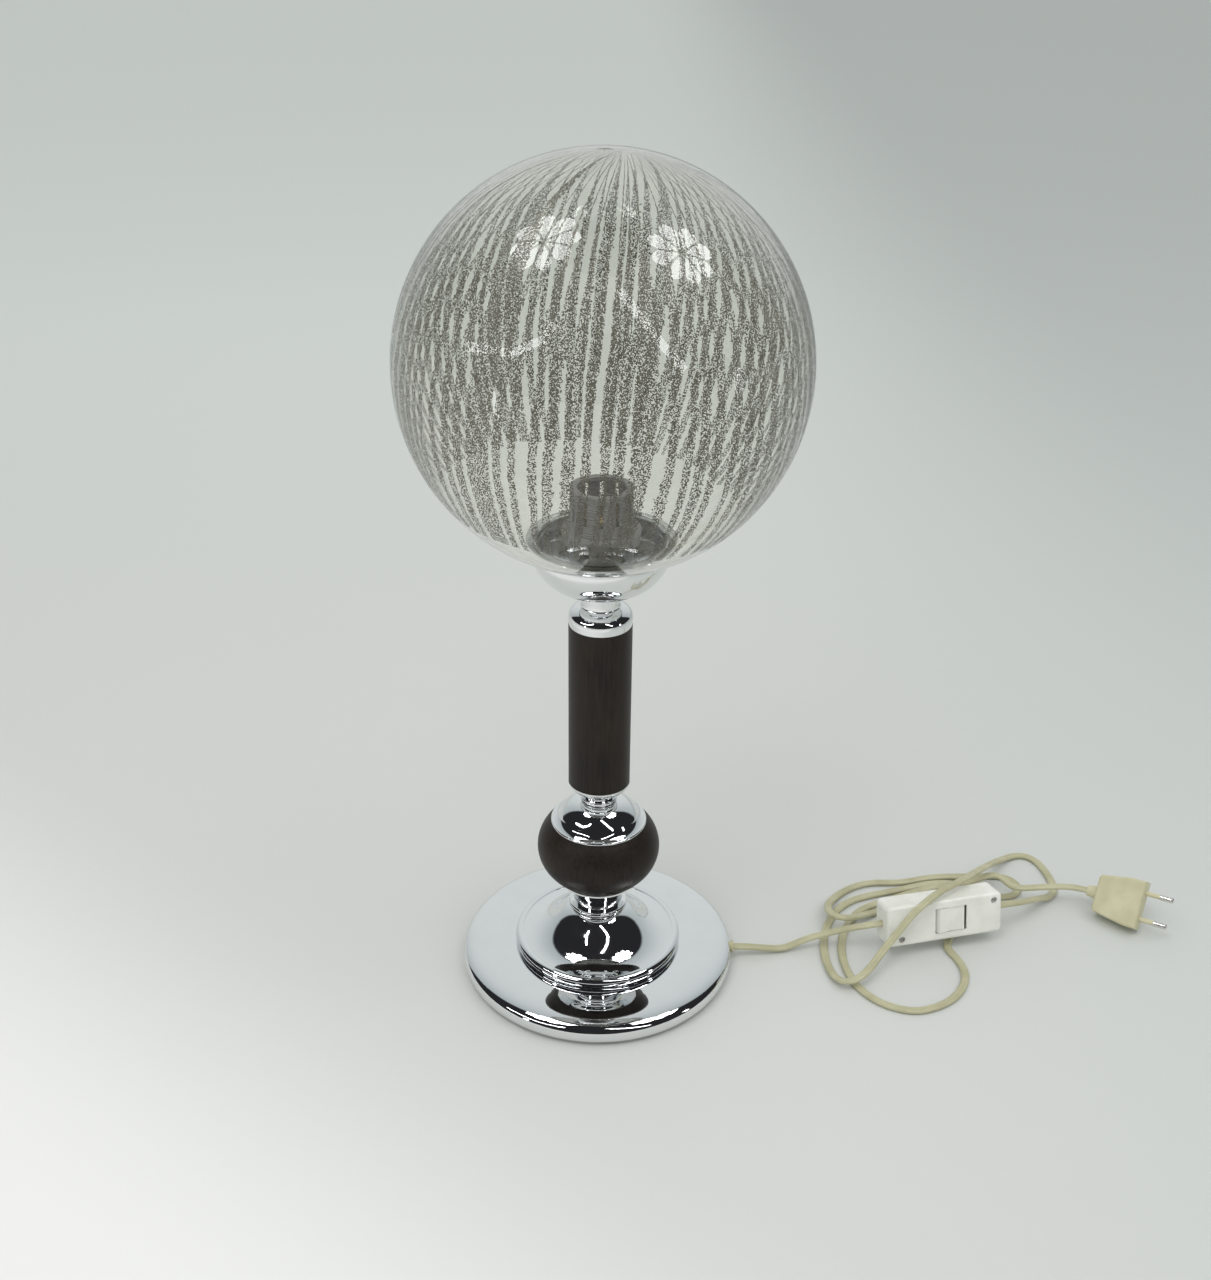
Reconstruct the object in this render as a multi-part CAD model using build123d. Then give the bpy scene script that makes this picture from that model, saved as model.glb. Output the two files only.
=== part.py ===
from build123d import *
import math
import os

# Glass globe table lamp. Millimetres, +Z up, origin in the middle of the base at the table.
# The stem's pieces stand on each other along Z on one threaded tube; the cord leaves along +X.

# ---- driving sizes ----------------------------------------------------------------------

SHEET = 1.0                     # spun sheet of the saucer, caps, ferrules and cup
SLIDE_GAP = 0.3                 # gap kept between pieces that move apart

TUBE_RADIUS = 5.0               # M10 threaded tube
TUBE_BORE_RADIUS = 3.5
TUBE_CLEARANCE = 0.15           # round the tube in every piece that it passes

FELT_THICKNESS = 1.2
FELT_INSET = 0.4                # felt inside the shell's curled foot

BASE_RADIUS = 90.3
BASE_HEIGHT = 16.2
BASE_SHEET = 1.2
BASE_FLAT_RADIUS = 66.0         # where the flat top starts to roll over
BASE_WIDEST = 8.2               # height of the widest line of the rolled edge
BASE_FOOT_INSET = 5.9           # curled foot inside the widest line
BASE_FOOT = 0.8

BALLAST_INSET = 16.3            # ballast's edge inside the widest line
BALLAST_EDGE = 4.0              # drop of its sloped shoulder
RECESS_RADIUS = 16.0            # room under the ballast for the nut and the flex
RECESS_ROOF = 3.0
CHANNEL_WIDTH = 7.0
CHANNEL_HEIGHT = 10.4

NUT_ACROSS_FLATS = 17.0
BASE_NUT_HEIGHT = 3.0
WASHER_THICKNESS = 1.0
WASHER_RADIUS = 12.0
TUBE_STICKS_OUT = 1.0           # tube below the base nut

SAUCER_HEIGHT = 28.5
SAUCER_BEAD_CENTRE = 51.6
SAUCER_BEAD = 3.5
SAUCER_SHOULDER = 13.0          # radius where the bell's flat top ends
SAUCER_WAIST = 27.0             # radius where the bell's wall is steepest
SAUCER_ROUND = 9.2              # height of the bell's rounded shoulder

SAUCER_RING_RADIUS = 19.4
SAUCER_RING_HEIGHT = 4.0
LOWER_NECK_RADIUS = 16.0
LOWER_NECK_HEIGHT = 14.3
NECK_GROOVES = 3
NECK_GROOVE = 0.8

BALL_RADIUS = 39.7
BALL_HALF_HEIGHT = 30.4
BALL_FLAT_BELOW = 28.5          # ball's centre above its lower flat
BALL_FLAT_ABOVE = 19.1          # upper flat above the ball's centre
SEAT_FLOOR = 1.0
SEAT_RIM_RADIUS = 26.9
SEAT_RIM_HEIGHT = 6.4
SEAT_GAP = 0.25

CAP_RIM_RADIUS = 30.8
CAP_BEAD = 1.05
CAP_HEIGHT = 16.9
CAP_TOP_RADIUS = 9.0            # radius where the cap's flat top ends
CAP_DOME_RADIUS = 25.0          # foot of the dome, where it turns out to the rim
CAP_DOME_FOOT = 6.2
CAP_RING_RADIUS = 11.9
CAP_RING_HEIGHT = 2.8
COLUMN_NECK_HEIGHT = 7.1
COLUMN_NECK_RADIUS = 10.2
COLUMN_NECK_LIP = 13.6

FERRULE_RADIUS = 19.9
FERRULE_FOOT_RADIUS = 17.5
FERRULE_HEIGHT = 4.8
COLUMN_RADIUS = 19.5
COLUMN_LENGTH = 112.1
SPIGOT_GAP = 0.2
TOP_SPIGOT = 3.0                # column's spigot inside the upper ferrule

DOME_RADIUS = 19.8
DOME_SKIRT = 4.0
DOME_RISE = 8.5
DOME_NECK_RADIUS = 12.3
DOME_TOP_RADIUS = 13.2
DOME_HEIGHT = 22.2
CUP_RING_RADIUS = 13.2
CUP_RING_HEIGHT = 2.5

CUP_RADIUS = 43.0
CUP_HEIGHT = 29.5
CUP_WALL_HEIGHT = 9.5
CUP_FLOOR_RADIUS = 14.0
LOCKNUT_HEIGHT = 3.0

GLOBE_RADIUS = 117.3
GLOBE_WALL = 2.2
GLOBE_SHOULDER = 25.0           # rounding between the globe and its flat seat
GLOBE_SEAT_RADIUS = 44.0
GLOBE_NECK_RADIUS = 39.5
GLOBE_NECK_LENGTH = 13.5
GLOBE_NECK_FILLET = 1.6

HOLDER_RADIUS = 19.4
HOLDER_CAP_HEIGHT = 21.0
HOLDER_BOSS_RADIUS = 8.0
HOLDER_BOSS_HEIGHT = 4.0
HOLDER_WALL = 1.7
TUBE_IN_HOLDER = 6.0
INSERT_THICKNESS = 6.0
INSERT_RECESS = 4.2             # depth of the round recess that the tongue stands in
INSERT_RECESS_RADIUS = 9.0
SLEEVE_RADIUS = 18.7
SLEEVE_HEIGHT = 38.0
SLEEVE_LIP = 2.0
SLEEVE_MOUTH_RADIUS = 14.6
SLIT_COUNT = 12
SLIT_WIDTH = 2.4
SLIT_LENGTH = 15.0
SLIT_BELOW_TOP = 4.0
SHELL_RADIUS = 13.3             # inside of the bulb's screw shell
SHELL_WALL = 0.5
SHELL_HEIGHT = 24.0
TONGUE_WIDTH = 6.0
TONGUE_RISE = 3.5
TERMINAL_SIZE = 4.0
SHADE_RING_RADIUS = 23.5
SHADE_RING_BODY = 21.4
SHADE_RING_HEIGHT = 8.0
SHADE_RING_FLANGE = 2.2
SHADE_RING_ABOVE_CAP = 4.0
SHADE_RING_TEETH = 12

CORD_RADIUS = 2.2
CORD_HOLE = 2.35
CORD_EXIT_HEIGHT = 8.0
FLEX_HEIGHT = 4.2               # flex on its way under the nut
FLEX_BEND = 5.0
FLEX_RISE = 14.0                # length of its slope up to the way out
FLEX_LEVEL = 10.3               # its level length before the way out
GROMMET_RADIUS = 4.2
GROMMET_NECK_RADIUS = 3.4
GROMMET_LIP = 0.8
GROMMET_NECK = 4.0

SWITCH_LENGTH = 84.0
SWITCH_WIDTH = 29.0
SWITCH_HEIGHT = 20.0
SWITCH_SPLIT = 9.0              # height of the joint between its halves
SWITCH_WALL = 1.8
SWITCH_CORNER = 3.5
SWITCH_EDGE = 2.2
SWITCH_PLACE = (232.6, 25.6, 5.2)
SWITCH_AZIMUTH = 14.0           # degrees
SWITCH_LEAN = 76.0              # degrees between its face and the table
SWITCH_CORD_HEIGHT = 10.0
ROCKER_PLACE = 4.5              # along the switch from its middle
ROCKER_WIDTH = 17.4
ROCKER_RADIUS = 11.4            # its curved ends, round the pin
ROCKER_WINDOW = 23.2
ROCKER_SIDE_GAP = 0.4
ROCKER_PIN_DEPTH = 6.4          # pin below the switch's face
ROCKER_PIN_RADIUS = 1.2
ROCKER_PIN_GAP = 0.05
ROCKER_PIN_LENGTH = 1.9
ROCKER_RECESS = 0.9             # lower half of its face under the switch's face
ROCKER_TRAVEL = 12.0            # degrees from one click to the other
ROCKER_FOOT = 1.6
BEARING_HALF = 3.0
SCREW_PLACES = ((-31.5, 5.0), (36.0, 24.0))
SCREW_RADIUS = 1.25
SCREW_HEAD_RADIUS = 2.2
SCREW_HEAD = 1.4
SCREW_SUNK = 1.2
SCREW_GAP = 0.1
BOSS_RADIUS = 3.5
BLADE_HEIGHT = 6.0
BLADE_THICKNESS = 0.8
BLADE_WIDTH = 8.0
BLADE_REACH = 19.0

PLUG_PLACE = (353.7, 54.3, 14.9)    # middle of the cord end
PLUG_AZIMUTH = -36.0
PLUG_RISE = 6.0
PLUG_LEAN = 53.0
PLUG_LENGTH = 32.0
PLUG_WIDTH = 34.0
PLUG_BACK_WIDTH = 26.0
PLUG_THICKNESS = 13.7
PLUG_CORNER = 3.0
PLUG_EDGE = 1.6
PIN_SPACING = 18.6
PIN_LENGTH = 19.0
PIN_RADIUS = 2.0
PIN_CORE_RADIUS = 1.4
PIN_TIP = 9.0
PIN_SLEEVE_RADIUS = 1.7
RELIEF_LENGTH = 7.0
RELIEF_WIDTH = 9.6
RELIEF_THICKNESS = 7.0
RELIEF_TAPER = 0.78

# ---- radii tied to the base, and heights of the seats ------------------------------------

BASE_FOOT_RADIUS = BASE_RADIUS - BASE_FOOT_INSET
FELT_RADIUS = BASE_FOOT_RADIUS - FELT_INSET
BALLAST_RADIUS = BASE_RADIUS - BALLAST_INSET
FLEX_RISE_END = BASE_RADIUS - FLEX_LEVEL
FLEX_RISE_START = FLEX_RISE_END - FLEX_RISE
SAUCER_TOP = BASE_HEIGHT + SAUCER_HEIGHT
NECK_BOTTOM = SAUCER_TOP + SAUCER_RING_HEIGHT
SEAT_BOTTOM = NECK_BOTTOM + LOWER_NECK_HEIGHT
BALL_BOTTOM = SEAT_BOTTOM + SEAT_FLOOR
BALL_CENTRE = BALL_BOTTOM + BALL_FLAT_BELOW
BALL_TOP = BALL_CENTRE + BALL_FLAT_ABOVE
CAP_TOP = BALL_TOP + CAP_HEIGHT
COLUMN_NECK_BOTTOM = CAP_TOP + CAP_RING_HEIGHT
FERRULE_BOTTOM = COLUMN_NECK_BOTTOM + COLUMN_NECK_HEIGHT
COLUMN_BOTTOM = FERRULE_BOTTOM + FERRULE_HEIGHT
COLUMN_TOP = COLUMN_BOTTOM + COLUMN_LENGTH
DOME_TOP = COLUMN_TOP + DOME_HEIGHT
CUP_BOTTOM = DOME_TOP + CUP_RING_HEIGHT
CUP_FLOOR = CUP_BOTTOM + SHEET
CUP_RIM = CUP_BOTTOM + CUP_HEIGHT
HOLDER_BOTTOM = CUP_FLOOR + WASHER_THICKNESS + LOCKNUT_HEIGHT
HOLDER_CAP_TOP = HOLDER_BOTTOM + HOLDER_CAP_HEIGHT
INSERT_BOTTOM = HOLDER_CAP_TOP - INSERT_THICKNESS
GLOBE_SEAT = CUP_RIM + SLIDE_GAP
BASE_WASHER_TOP = BASE_HEIGHT - BASE_SHEET - RECESS_ROOF
BASE_NUT_BOTTOM = BASE_WASHER_TOP - WASHER_THICKNESS - BASE_NUT_HEIGHT
TUBE_BOTTOM = BASE_NUT_BOTTOM - TUBE_STICKS_OUT
HOLE_RADIUS = TUBE_RADIUS + TUBE_CLEARANCE

# ---- helpers ----------------------------------------------------------------------------


def turned(*edges):
    """Solid of revolution about Z from edges drawn as (radius, height)."""
    outline = make_face(Wire(list(edges)))
    return revolve(Plane.XZ * outline, Axis.Z, 360)


def lines(*points):
    """Straight edges from point to point."""
    return [Line(a, b) for a, b in zip(points, points[1:])]


def ring(outer, inner, bottom, top):
    """Plain ring about Z."""
    corners = ((inner, bottom), (outer, bottom), (outer, top), (inner, top), (inner, bottom))
    return turned(*lines(*corners))


def spun(edges, wall, side):
    """Sheet of one wall thickness, spun about Z, on one side of a drawn profile."""
    outline = [
        edge.to_splines() if edge.geom_type == GeomType.OFFSET else edge
        for edge in offset(Wire(edges), amount=wall, side=side).edges()
    ]
    return revolve(Plane.XZ * make_face(Wire(outline)), Axis.Z, 360)


def bend(start, end, leave, arrive):
    """Smooth curve between two points; its handles are shares of their distance."""
    reach = math.dist(start, end)
    first = (start[0] + reach * leave[0], start[1] + reach * leave[1])
    second = (end[0] - reach * arrive[0], end[1] - reach * arrive[1])
    return Bezier(start, first, second, end)


def hexagon_nut(across_flats, bottom, height):
    """Hexagonal nut on the threaded tube."""
    blank = extrude(RegularPolygon(across_flats / 2, 6, major_radius=False), height)
    nut = blank - Cylinder(HOLE_RADIUS, 4 * height)
    return Pos(0, 0, bottom) * nut


def save(node, solid):
    """Write one sub-part."""
    solid.label = node
    export_step(solid, os.path.join("parts", node + ".step"))


# ---- base -------------------------------------------------------------------------------


def base_felt():
    return Cylinder(FELT_RADIUS, FELT_THICKNESS, align=(Align.CENTER, Align.CENTER, Align.MIN))


def base_shell_blank():
    """Spun shell: flat top, rolled edge and a curl back under it."""
    top = Line((HOLE_RADIUS, BASE_HEIGHT), (BASE_FLAT_RADIUS, BASE_HEIGHT))
    widest = (BASE_RADIUS, BASE_WIDEST)
    roll = bend((BASE_FLAT_RADIUS, BASE_HEIGHT), widest, (0.62, 0), (0, -0.266))
    curl = bend(widest, (BASE_FOOT_RADIUS, BASE_FOOT), (0, -0.5), (-0.41, 0))
    return spun([top, roll, curl], BASE_SHEET, Side.RIGHT)


def base_shell():
    exit_hole = Rot(0, 90, 0) * Cylinder(
        GROMMET_NECK_RADIUS + TUBE_CLEARANCE, 12, align=(Align.CENTER, Align.CENTER, Align.MIN)
    )
    return base_shell_blank() - Pos(BASE_RADIUS - 6, 0, CORD_EXIT_HEIGHT) * exit_hole


def base_ballast():
    """Cast disc with a recess for the nut and a channel for the flex."""
    top = BASE_HEIGHT - BASE_SHEET
    disc = turned(*lines(
        (HOLE_RADIUS, FELT_THICKNESS), (BALLAST_RADIUS, FELT_THICKNESS),
        (BALLAST_RADIUS, top - BALLAST_EDGE), (BASE_FLAT_RADIUS, top), (HOLE_RADIUS, top),
        (HOLE_RADIUS, FELT_THICKNESS),
    ))
    recess = ring(RECESS_RADIUS, 0, FELT_THICKNESS, BASE_WASHER_TOP)
    channel = Pos(0, 0, FELT_THICKNESS) * Box(
        BASE_RADIUS, CHANNEL_WIDTH, CHANNEL_HEIGHT - FELT_THICKNESS,
        align=(Align.MIN, Align.CENTER, Align.MIN),
    )
    return disc - recess - channel


def base_washer():
    bottom = BASE_WASHER_TOP - WASHER_THICKNESS
    return ring(WASHER_RADIUS, HOLE_RADIUS, bottom, BASE_WASHER_TOP)


def base_nut():
    return hexagon_nut(NUT_ACROSS_FLATS, BASE_NUT_BOTTOM, BASE_NUT_HEIGHT)


def threaded_tube():
    return ring(TUBE_RADIUS, TUBE_BORE_RADIUS, TUBE_BOTTOM, HOLDER_BOTTOM + TUBE_IN_HOLDER)


# ---- stem -------------------------------------------------------------------------------


def saucer():
    """Bell with a flared brim that ends in a rolled bead standing on the base."""
    bead_middle = BASE_HEIGHT + SAUCER_BEAD
    shoulder_foot = (SAUCER_WAIST, SAUCER_TOP - SAUCER_ROUND)
    brim_edge = (SAUCER_BEAD_CENTRE - SHEET, bead_middle + SAUCER_BEAD * 0.83)
    flat = Line((HOLE_RADIUS, SAUCER_TOP), (SAUCER_SHOULDER, SAUCER_TOP))
    shoulder = bend((SAUCER_SHOULDER, SAUCER_TOP), shoulder_foot, (0.33, 0), (0.22, -0.245))
    brim = bend(shoulder_foot, brim_edge, (0.149, -0.164), (0.468, -0.022))
    bell = spun([flat, shoulder, brim], SHEET, Side.RIGHT)
    bead = revolve(
        Plane.XZ * Pos(SAUCER_BEAD_CENTRE, bead_middle) * Circle(SAUCER_BEAD), Axis.Z, 360
    )
    return bell + bead


def saucer_ring():
    edge = SAUCER_RING_HEIGHT / 2
    blank = ring(SAUCER_RING_RADIUS, HOLE_RADIUS, SAUCER_TOP, NECK_BOTTOM)
    rims = blank.edges().filter_by(GeomType.CIRCLE).sort_by(SortBy.RADIUS)[-2:]
    return fillet(rims, edge * 0.8)


def lower_neck():
    """Turned spool with a few fine grooves round its middle."""
    neck = ring(LOWER_NECK_RADIUS, HOLE_RADIUS, NECK_BOTTOM, SEAT_BOTTOM)
    pitch = LOWER_NECK_HEIGHT / (NECK_GROOVES + 1)
    for number in range(1, NECK_GROOVES + 1):
        height = NECK_BOTTOM + number * pitch
        neck -= ring(
            LOWER_NECK_RADIUS + 1, LOWER_NECK_RADIUS - NECK_GROOVE,
            height - NECK_GROOVE / 2, height + NECK_GROOVE / 2,
        )
    return neck


def ball_blank(extra):
    """Flattened sphere, larger by extra in radius and half height."""
    radius = BALL_RADIUS + extra
    half_height = BALL_HALF_HEIGHT + extra
    curve = EllipticalCenterArc((0, BALL_CENTRE), radius, half_height, start_angle=-90, arc_size=180)
    axis_line = Line((0, BALL_CENTRE + half_height), (0, BALL_CENTRE - half_height))
    return turned(curve, axis_line)


def wood_ball():
    band = ring(BALL_RADIUS + 1, HOLE_RADIUS, BALL_BOTTOM, BALL_TOP)
    return ball_blank(0) & band


def ball_seat():
    """Flared lip under the ball, hollowed to the ball's own curve."""
    rim_top = SEAT_BOTTOM + SEAT_RIM_HEIGHT
    flare = bend((LOWER_NECK_RADIUS + 1, SEAT_BOTTOM), (SEAT_RIM_RADIUS, rim_top - 1.2),
                 (0.2, 0.33), (0.36, 0.16))
    rim = Line((SEAT_RIM_RADIUS, rim_top - 1.2), (SEAT_RIM_RADIUS, rim_top))
    rest = lines(
        (SEAT_RIM_RADIUS, rim_top), (HOLE_RADIUS, rim_top),
        (HOLE_RADIUS, SEAT_BOTTOM), (LOWER_NECK_RADIUS + 1, SEAT_BOTTOM),
    )
    blank = turned(flare, rim, *rest)
    room = ball_blank(SEAT_GAP) & ring(BALL_RADIUS, 0, BALL_BOTTOM, BALL_TOP)
    return blank - room


def ball_cap():
    """Dome over the ball, turned out to a beaded rim."""
    bead_middle = (CAP_RIM_RADIUS - CAP_BEAD, BALL_TOP + CAP_BEAD)
    dome_foot = (CAP_DOME_RADIUS, BALL_TOP + CAP_DOME_FOOT)
    rim_edge = (bead_middle[0], bead_middle[1] + CAP_BEAD * 0.8)
    top = Line((HOLE_RADIUS, CAP_TOP), (CAP_TOP_RADIUS, CAP_TOP))
    dome = bend((CAP_TOP_RADIUS, CAP_TOP), dome_foot, (0.42, 0), (0.16, -0.27))
    flare = bend(dome_foot, rim_edge, (0.15, -0.33), (0.36, -0.15))
    bead = revolve(Plane.XZ * Pos(*bead_middle) * Circle(CAP_BEAD), Axis.Z, 360)
    return spun([top, dome, flare], SHEET, Side.RIGHT) + bead


def cap_ring():
    blank = ring(CAP_RING_RADIUS, HOLE_RADIUS, CAP_TOP, COLUMN_NECK_BOTTOM)
    rims = blank.edges().filter_by(GeomType.CIRCLE).sort_by(SortBy.RADIUS)[-2:]
    return fillet(rims, CAP_RING_HEIGHT * 0.4)


def column_neck():
    """Spool that flares up to a lip under the column's ferrule."""
    lip = FERRULE_BOTTOM - 1.6
    side = bend((COLUMN_NECK_RADIUS, COLUMN_NECK_BOTTOM), (COLUMN_NECK_LIP, lip),
                (0, 0.4), (0.36, 0.18))
    rest = lines(
        (COLUMN_NECK_LIP, lip), (COLUMN_NECK_LIP, FERRULE_BOTTOM),
        (HOLE_RADIUS, FERRULE_BOTTOM), (HOLE_RADIUS, COLUMN_NECK_BOTTOM),
        (COLUMN_NECK_RADIUS, COLUMN_NECK_BOTTOM),
    )
    return turned(side, *rest)


def lower_ferrule():
    """Shallow cup under the column."""
    floor = Line((HOLE_RADIUS, FERRULE_BOTTOM), (FERRULE_FOOT_RADIUS - 1.5, FERRULE_BOTTOM))
    foot = (FERRULE_FOOT_RADIUS - 1.5, FERRULE_BOTTOM)
    side = bend(foot, (FERRULE_RADIUS, COLUMN_BOTTOM), (0.38, 0.12), (0, 0.4))
    return spun([floor, side], SHEET, Side.LEFT)


def wood_column():
    """Turned column; its ends are spigots inside the two ferrules."""
    shaft = ring(COLUMN_RADIUS, HOLE_RADIUS, COLUMN_BOTTOM, COLUMN_TOP)
    spigot = min(FERRULE_FOOT_RADIUS, FERRULE_RADIUS - SHEET) - SHEET - 1.2
    foot = ring(spigot, HOLE_RADIUS, FERRULE_BOTTOM + SHEET, COLUMN_BOTTOM)
    head = ring(DOME_RADIUS - SHEET - 0.8, HOLE_RADIUS, COLUMN_TOP, COLUMN_TOP + TOP_SPIGOT)
    return foot + shaft + head


def upper_ferrule():
    """Domed cap of the column, drawn in to a waist and out again under the cup's ring."""
    skirt_top = (DOME_RADIUS, COLUMN_TOP + DOME_SKIRT)
    neck = (DOME_NECK_RADIUS, skirt_top[1] + DOME_RISE)
    skirt = Line((DOME_RADIUS - 0.5, COLUMN_TOP), skirt_top)
    dome = bend(skirt_top, neck, (0, 0.46), (-0.28, 0.115))
    flare = bend(neck, (DOME_TOP_RADIUS, DOME_TOP), (-0.13, 0.15), (0, 0.31))
    body = spun([skirt, dome, flare], SHEET, Side.LEFT)
    web = ring(DOME_TOP_RADIUS - SHEET / 2, HOLE_RADIUS, DOME_TOP - SHEET, DOME_TOP)
    return body + web


def cup_ring():
    blank = ring(CUP_RING_RADIUS, HOLE_RADIUS, DOME_TOP, CUP_BOTTOM)
    rims = blank.edges().filter_by(GeomType.CIRCLE).sort_by(SortBy.RADIUS)[-2:]
    return fillet(rims, CUP_RING_HEIGHT * 0.4)


def gallery_cup():
    """Bowl with an upright wall; the glass stands on its rim."""
    bowl_top = CUP_RIM - CUP_WALL_HEIGHT
    floor = Line((HOLE_RADIUS, CUP_BOTTOM), (CUP_FLOOR_RADIUS, CUP_BOTTOM))
    bowl = bend((CUP_FLOOR_RADIUS, CUP_BOTTOM), (CUP_RADIUS, bowl_top), (0.46, 0), (0, 0.31))
    wall = Line((CUP_RADIUS, bowl_top), (CUP_RADIUS, CUP_RIM))
    return spun([floor, bowl, wall], SHEET, Side.LEFT)


def cup_washer():
    return ring(WASHER_RADIUS, HOLE_RADIUS, CUP_FLOOR, CUP_FLOOR + WASHER_THICKNESS)


def cup_locknut():
    return hexagon_nut(NUT_ACROSS_FLATS, CUP_FLOOR + WASHER_THICKNESS, LOCKNUT_HEIGHT)


# ---- glass ------------------------------------------------------------------------------


def glass_globe():
    """Blown globe: neck in the cup, small flat seat on its rim, rounded shoulder, sphere."""
    rise = math.sqrt((GLOBE_RADIUS - GLOBE_SHOULDER) ** 2 - GLOBE_SEAT_RADIUS ** 2)
    shoulder_centre = (GLOBE_SEAT_RADIUS, GLOBE_SEAT + GLOBE_SHOULDER)
    centre = GLOBE_SEAT + GLOBE_SHOULDER + rise
    slope = math.degrees(math.atan2(rise, GLOBE_SEAT_RADIUS))
    corner = GLOBE_NECK_RADIUS + GLOBE_NECK_FILLET
    neck = Line(
        (GLOBE_NECK_RADIUS, GLOBE_SEAT - GLOBE_NECK_LENGTH),
        (GLOBE_NECK_RADIUS, GLOBE_SEAT - GLOBE_NECK_FILLET),
    )
    neck_fillet = CenterArc((corner, GLOBE_SEAT - GLOBE_NECK_FILLET), GLOBE_NECK_FILLET, 180, -90)
    seat = Line((corner, GLOBE_SEAT), (GLOBE_SEAT_RADIUS, GLOBE_SEAT))
    shoulder = CenterArc(shoulder_centre, GLOBE_SHOULDER, -90, 90 - slope)
    sphere = CenterArc((0, centre), GLOBE_RADIUS, -slope, 90 + slope)
    return spun([neck, neck_fillet, seat, shoulder, sphere], GLOBE_WALL, Side.LEFT)


# ---- lampholder -------------------------------------------------------------------------


def lampholder_cap():
    """Lower half of the lampholder: boss on the tube, flare, upright wall with a ledge."""
    boss_top = HOLDER_BOTTOM + HOLDER_BOSS_HEIGHT
    wall_bottom = HOLDER_BOTTOM + HOLDER_CAP_HEIGHT * 0.6
    flare = bend((HOLDER_BOSS_RADIUS, boss_top), (HOLDER_RADIUS, wall_bottom),
                 (0.4, 0.04), (0, 0.4))
    inner = HOLDER_RADIUS - HOLDER_WALL
    ledge = inner - 2.0
    rest = lines(
        (HOLDER_RADIUS, wall_bottom), (HOLDER_RADIUS, HOLDER_CAP_TOP), (inner, HOLDER_CAP_TOP),
        (inner, INSERT_BOTTOM), (ledge, INSERT_BOTTOM), (ledge, wall_bottom),
        (HOLDER_BOSS_RADIUS, boss_top + HOLDER_WALL), (HOLE_RADIUS, boss_top + HOLDER_WALL),
        (HOLE_RADIUS, HOLDER_BOTTOM), (HOLDER_BOSS_RADIUS, HOLDER_BOTTOM),
        (HOLDER_BOSS_RADIUS, boss_top),
    )
    return turned(flare, *rest)


def lampholder_insert():
    """Insulating disc, recessed for the centre contact."""
    disc = ring(HOLDER_RADIUS - HOLDER_WALL - SPIGOT_GAP, 0, INSERT_BOTTOM, HOLDER_CAP_TOP)
    return disc - ring(INSERT_RECESS_RADIUS, 0, HOLDER_CAP_TOP - INSERT_RECESS, HOLDER_CAP_TOP)


def screw_shell():
    outer = SHELL_RADIUS + SHELL_WALL
    return ring(outer, SHELL_RADIUS, HOLDER_CAP_TOP, HOLDER_CAP_TOP + SHELL_HEIGHT)


def centre_contact():
    """Springy tongue that rises over the middle of the insert's recess."""
    foot = HOLDER_CAP_TOP - INSERT_RECESS
    profile = Polyline(
        (-6.4, foot), (-3.2, foot), (0, foot + TONGUE_RISE), (2.2, foot + TONGUE_RISE),
        (2.2, foot + TONGUE_RISE + SHELL_WALL), (-0.2, foot + TONGUE_RISE + SHELL_WALL),
        (-3.4, foot + SHELL_WALL), (-6.4, foot + SHELL_WALL), (-6.4, foot),
    )
    tongue = extrude(Plane.XZ * make_face(profile), TONGUE_WIDTH / 2, both=True)
    return tongue


def terminals():
    """Two terminal blocks with their screws, standing under the insert."""
    block = Box(TERMINAL_SIZE, TERMINAL_SIZE, TERMINAL_SIZE,
                align=(Align.CENTER, Align.CENTER, Align.MAX))
    block -= Rot(90, 0, 0) * Cylinder(TERMINAL_SIZE * 0.2, 2 * TERMINAL_SIZE)
    offset_x = TERMINAL_SIZE * 1.9
    pair = [Pos(side * offset_x, 0, INSERT_BOTTOM) * block for side in (-1, 1)]
    return Compound(children=[solid for block in pair for solid in block.solids()])


def lampholder_sleeve():
    """Upper half: plain tube with a turned-in lip and a ring of slits under it."""
    inner = HOLDER_RADIUS - HOLDER_WALL - SPIGOT_GAP
    top = HOLDER_CAP_TOP + SLEEVE_HEIGHT
    sleeve = ring(SLEEVE_RADIUS, inner, HOLDER_CAP_TOP, top)
    sleeve += ring(inner, SLEEVE_MOUTH_RADIUS, top - SLEEVE_LIP, top)
    slit = Pos(SLEEVE_RADIUS, 0, top - SLIT_BELOW_TOP - SLIT_LENGTH / 2) * Box(
        2 * (SLEEVE_RADIUS - SLEEVE_MOUTH_RADIUS), SLIT_WIDTH, SLIT_LENGTH
    )
    for number in range(SLIT_COUNT):
        sleeve -= Rot(0, 0, number * 360 / SLIT_COUNT) * slit
    return sleeve


def shade_ring():
    """Screwed ring with a flange and grip teeth, for holding a shade."""
    bottom = HOLDER_CAP_TOP + SHADE_RING_ABOVE_CAP
    top = bottom + SHADE_RING_HEIGHT
    bore = SLEEVE_RADIUS + TUBE_CLEARANCE
    body = ring(SHADE_RING_BODY, bore, bottom, top)
    body += ring(SHADE_RING_RADIUS, bore, top - SHADE_RING_FLANGE, top)
    height = SHADE_RING_HEIGHT - SHADE_RING_FLANGE
    tooth_width = SHADE_RING_RADIUS * math.pi / SHADE_RING_TEETH
    tooth = Pos(SHADE_RING_BODY - 0.6, 0, bottom) * Box(
        SHADE_RING_RADIUS - SHADE_RING_BODY + 0.2, tooth_width, height,
        align=(Align.MIN, Align.CENTER, Align.MIN),
    )
    for number in range(SHADE_RING_TEETH):
        body += Rot(0, 0, number * 360 / SHADE_RING_TEETH) * tooth
    return body


# ---- flex and grommet -------------------------------------------------------------------


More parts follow.
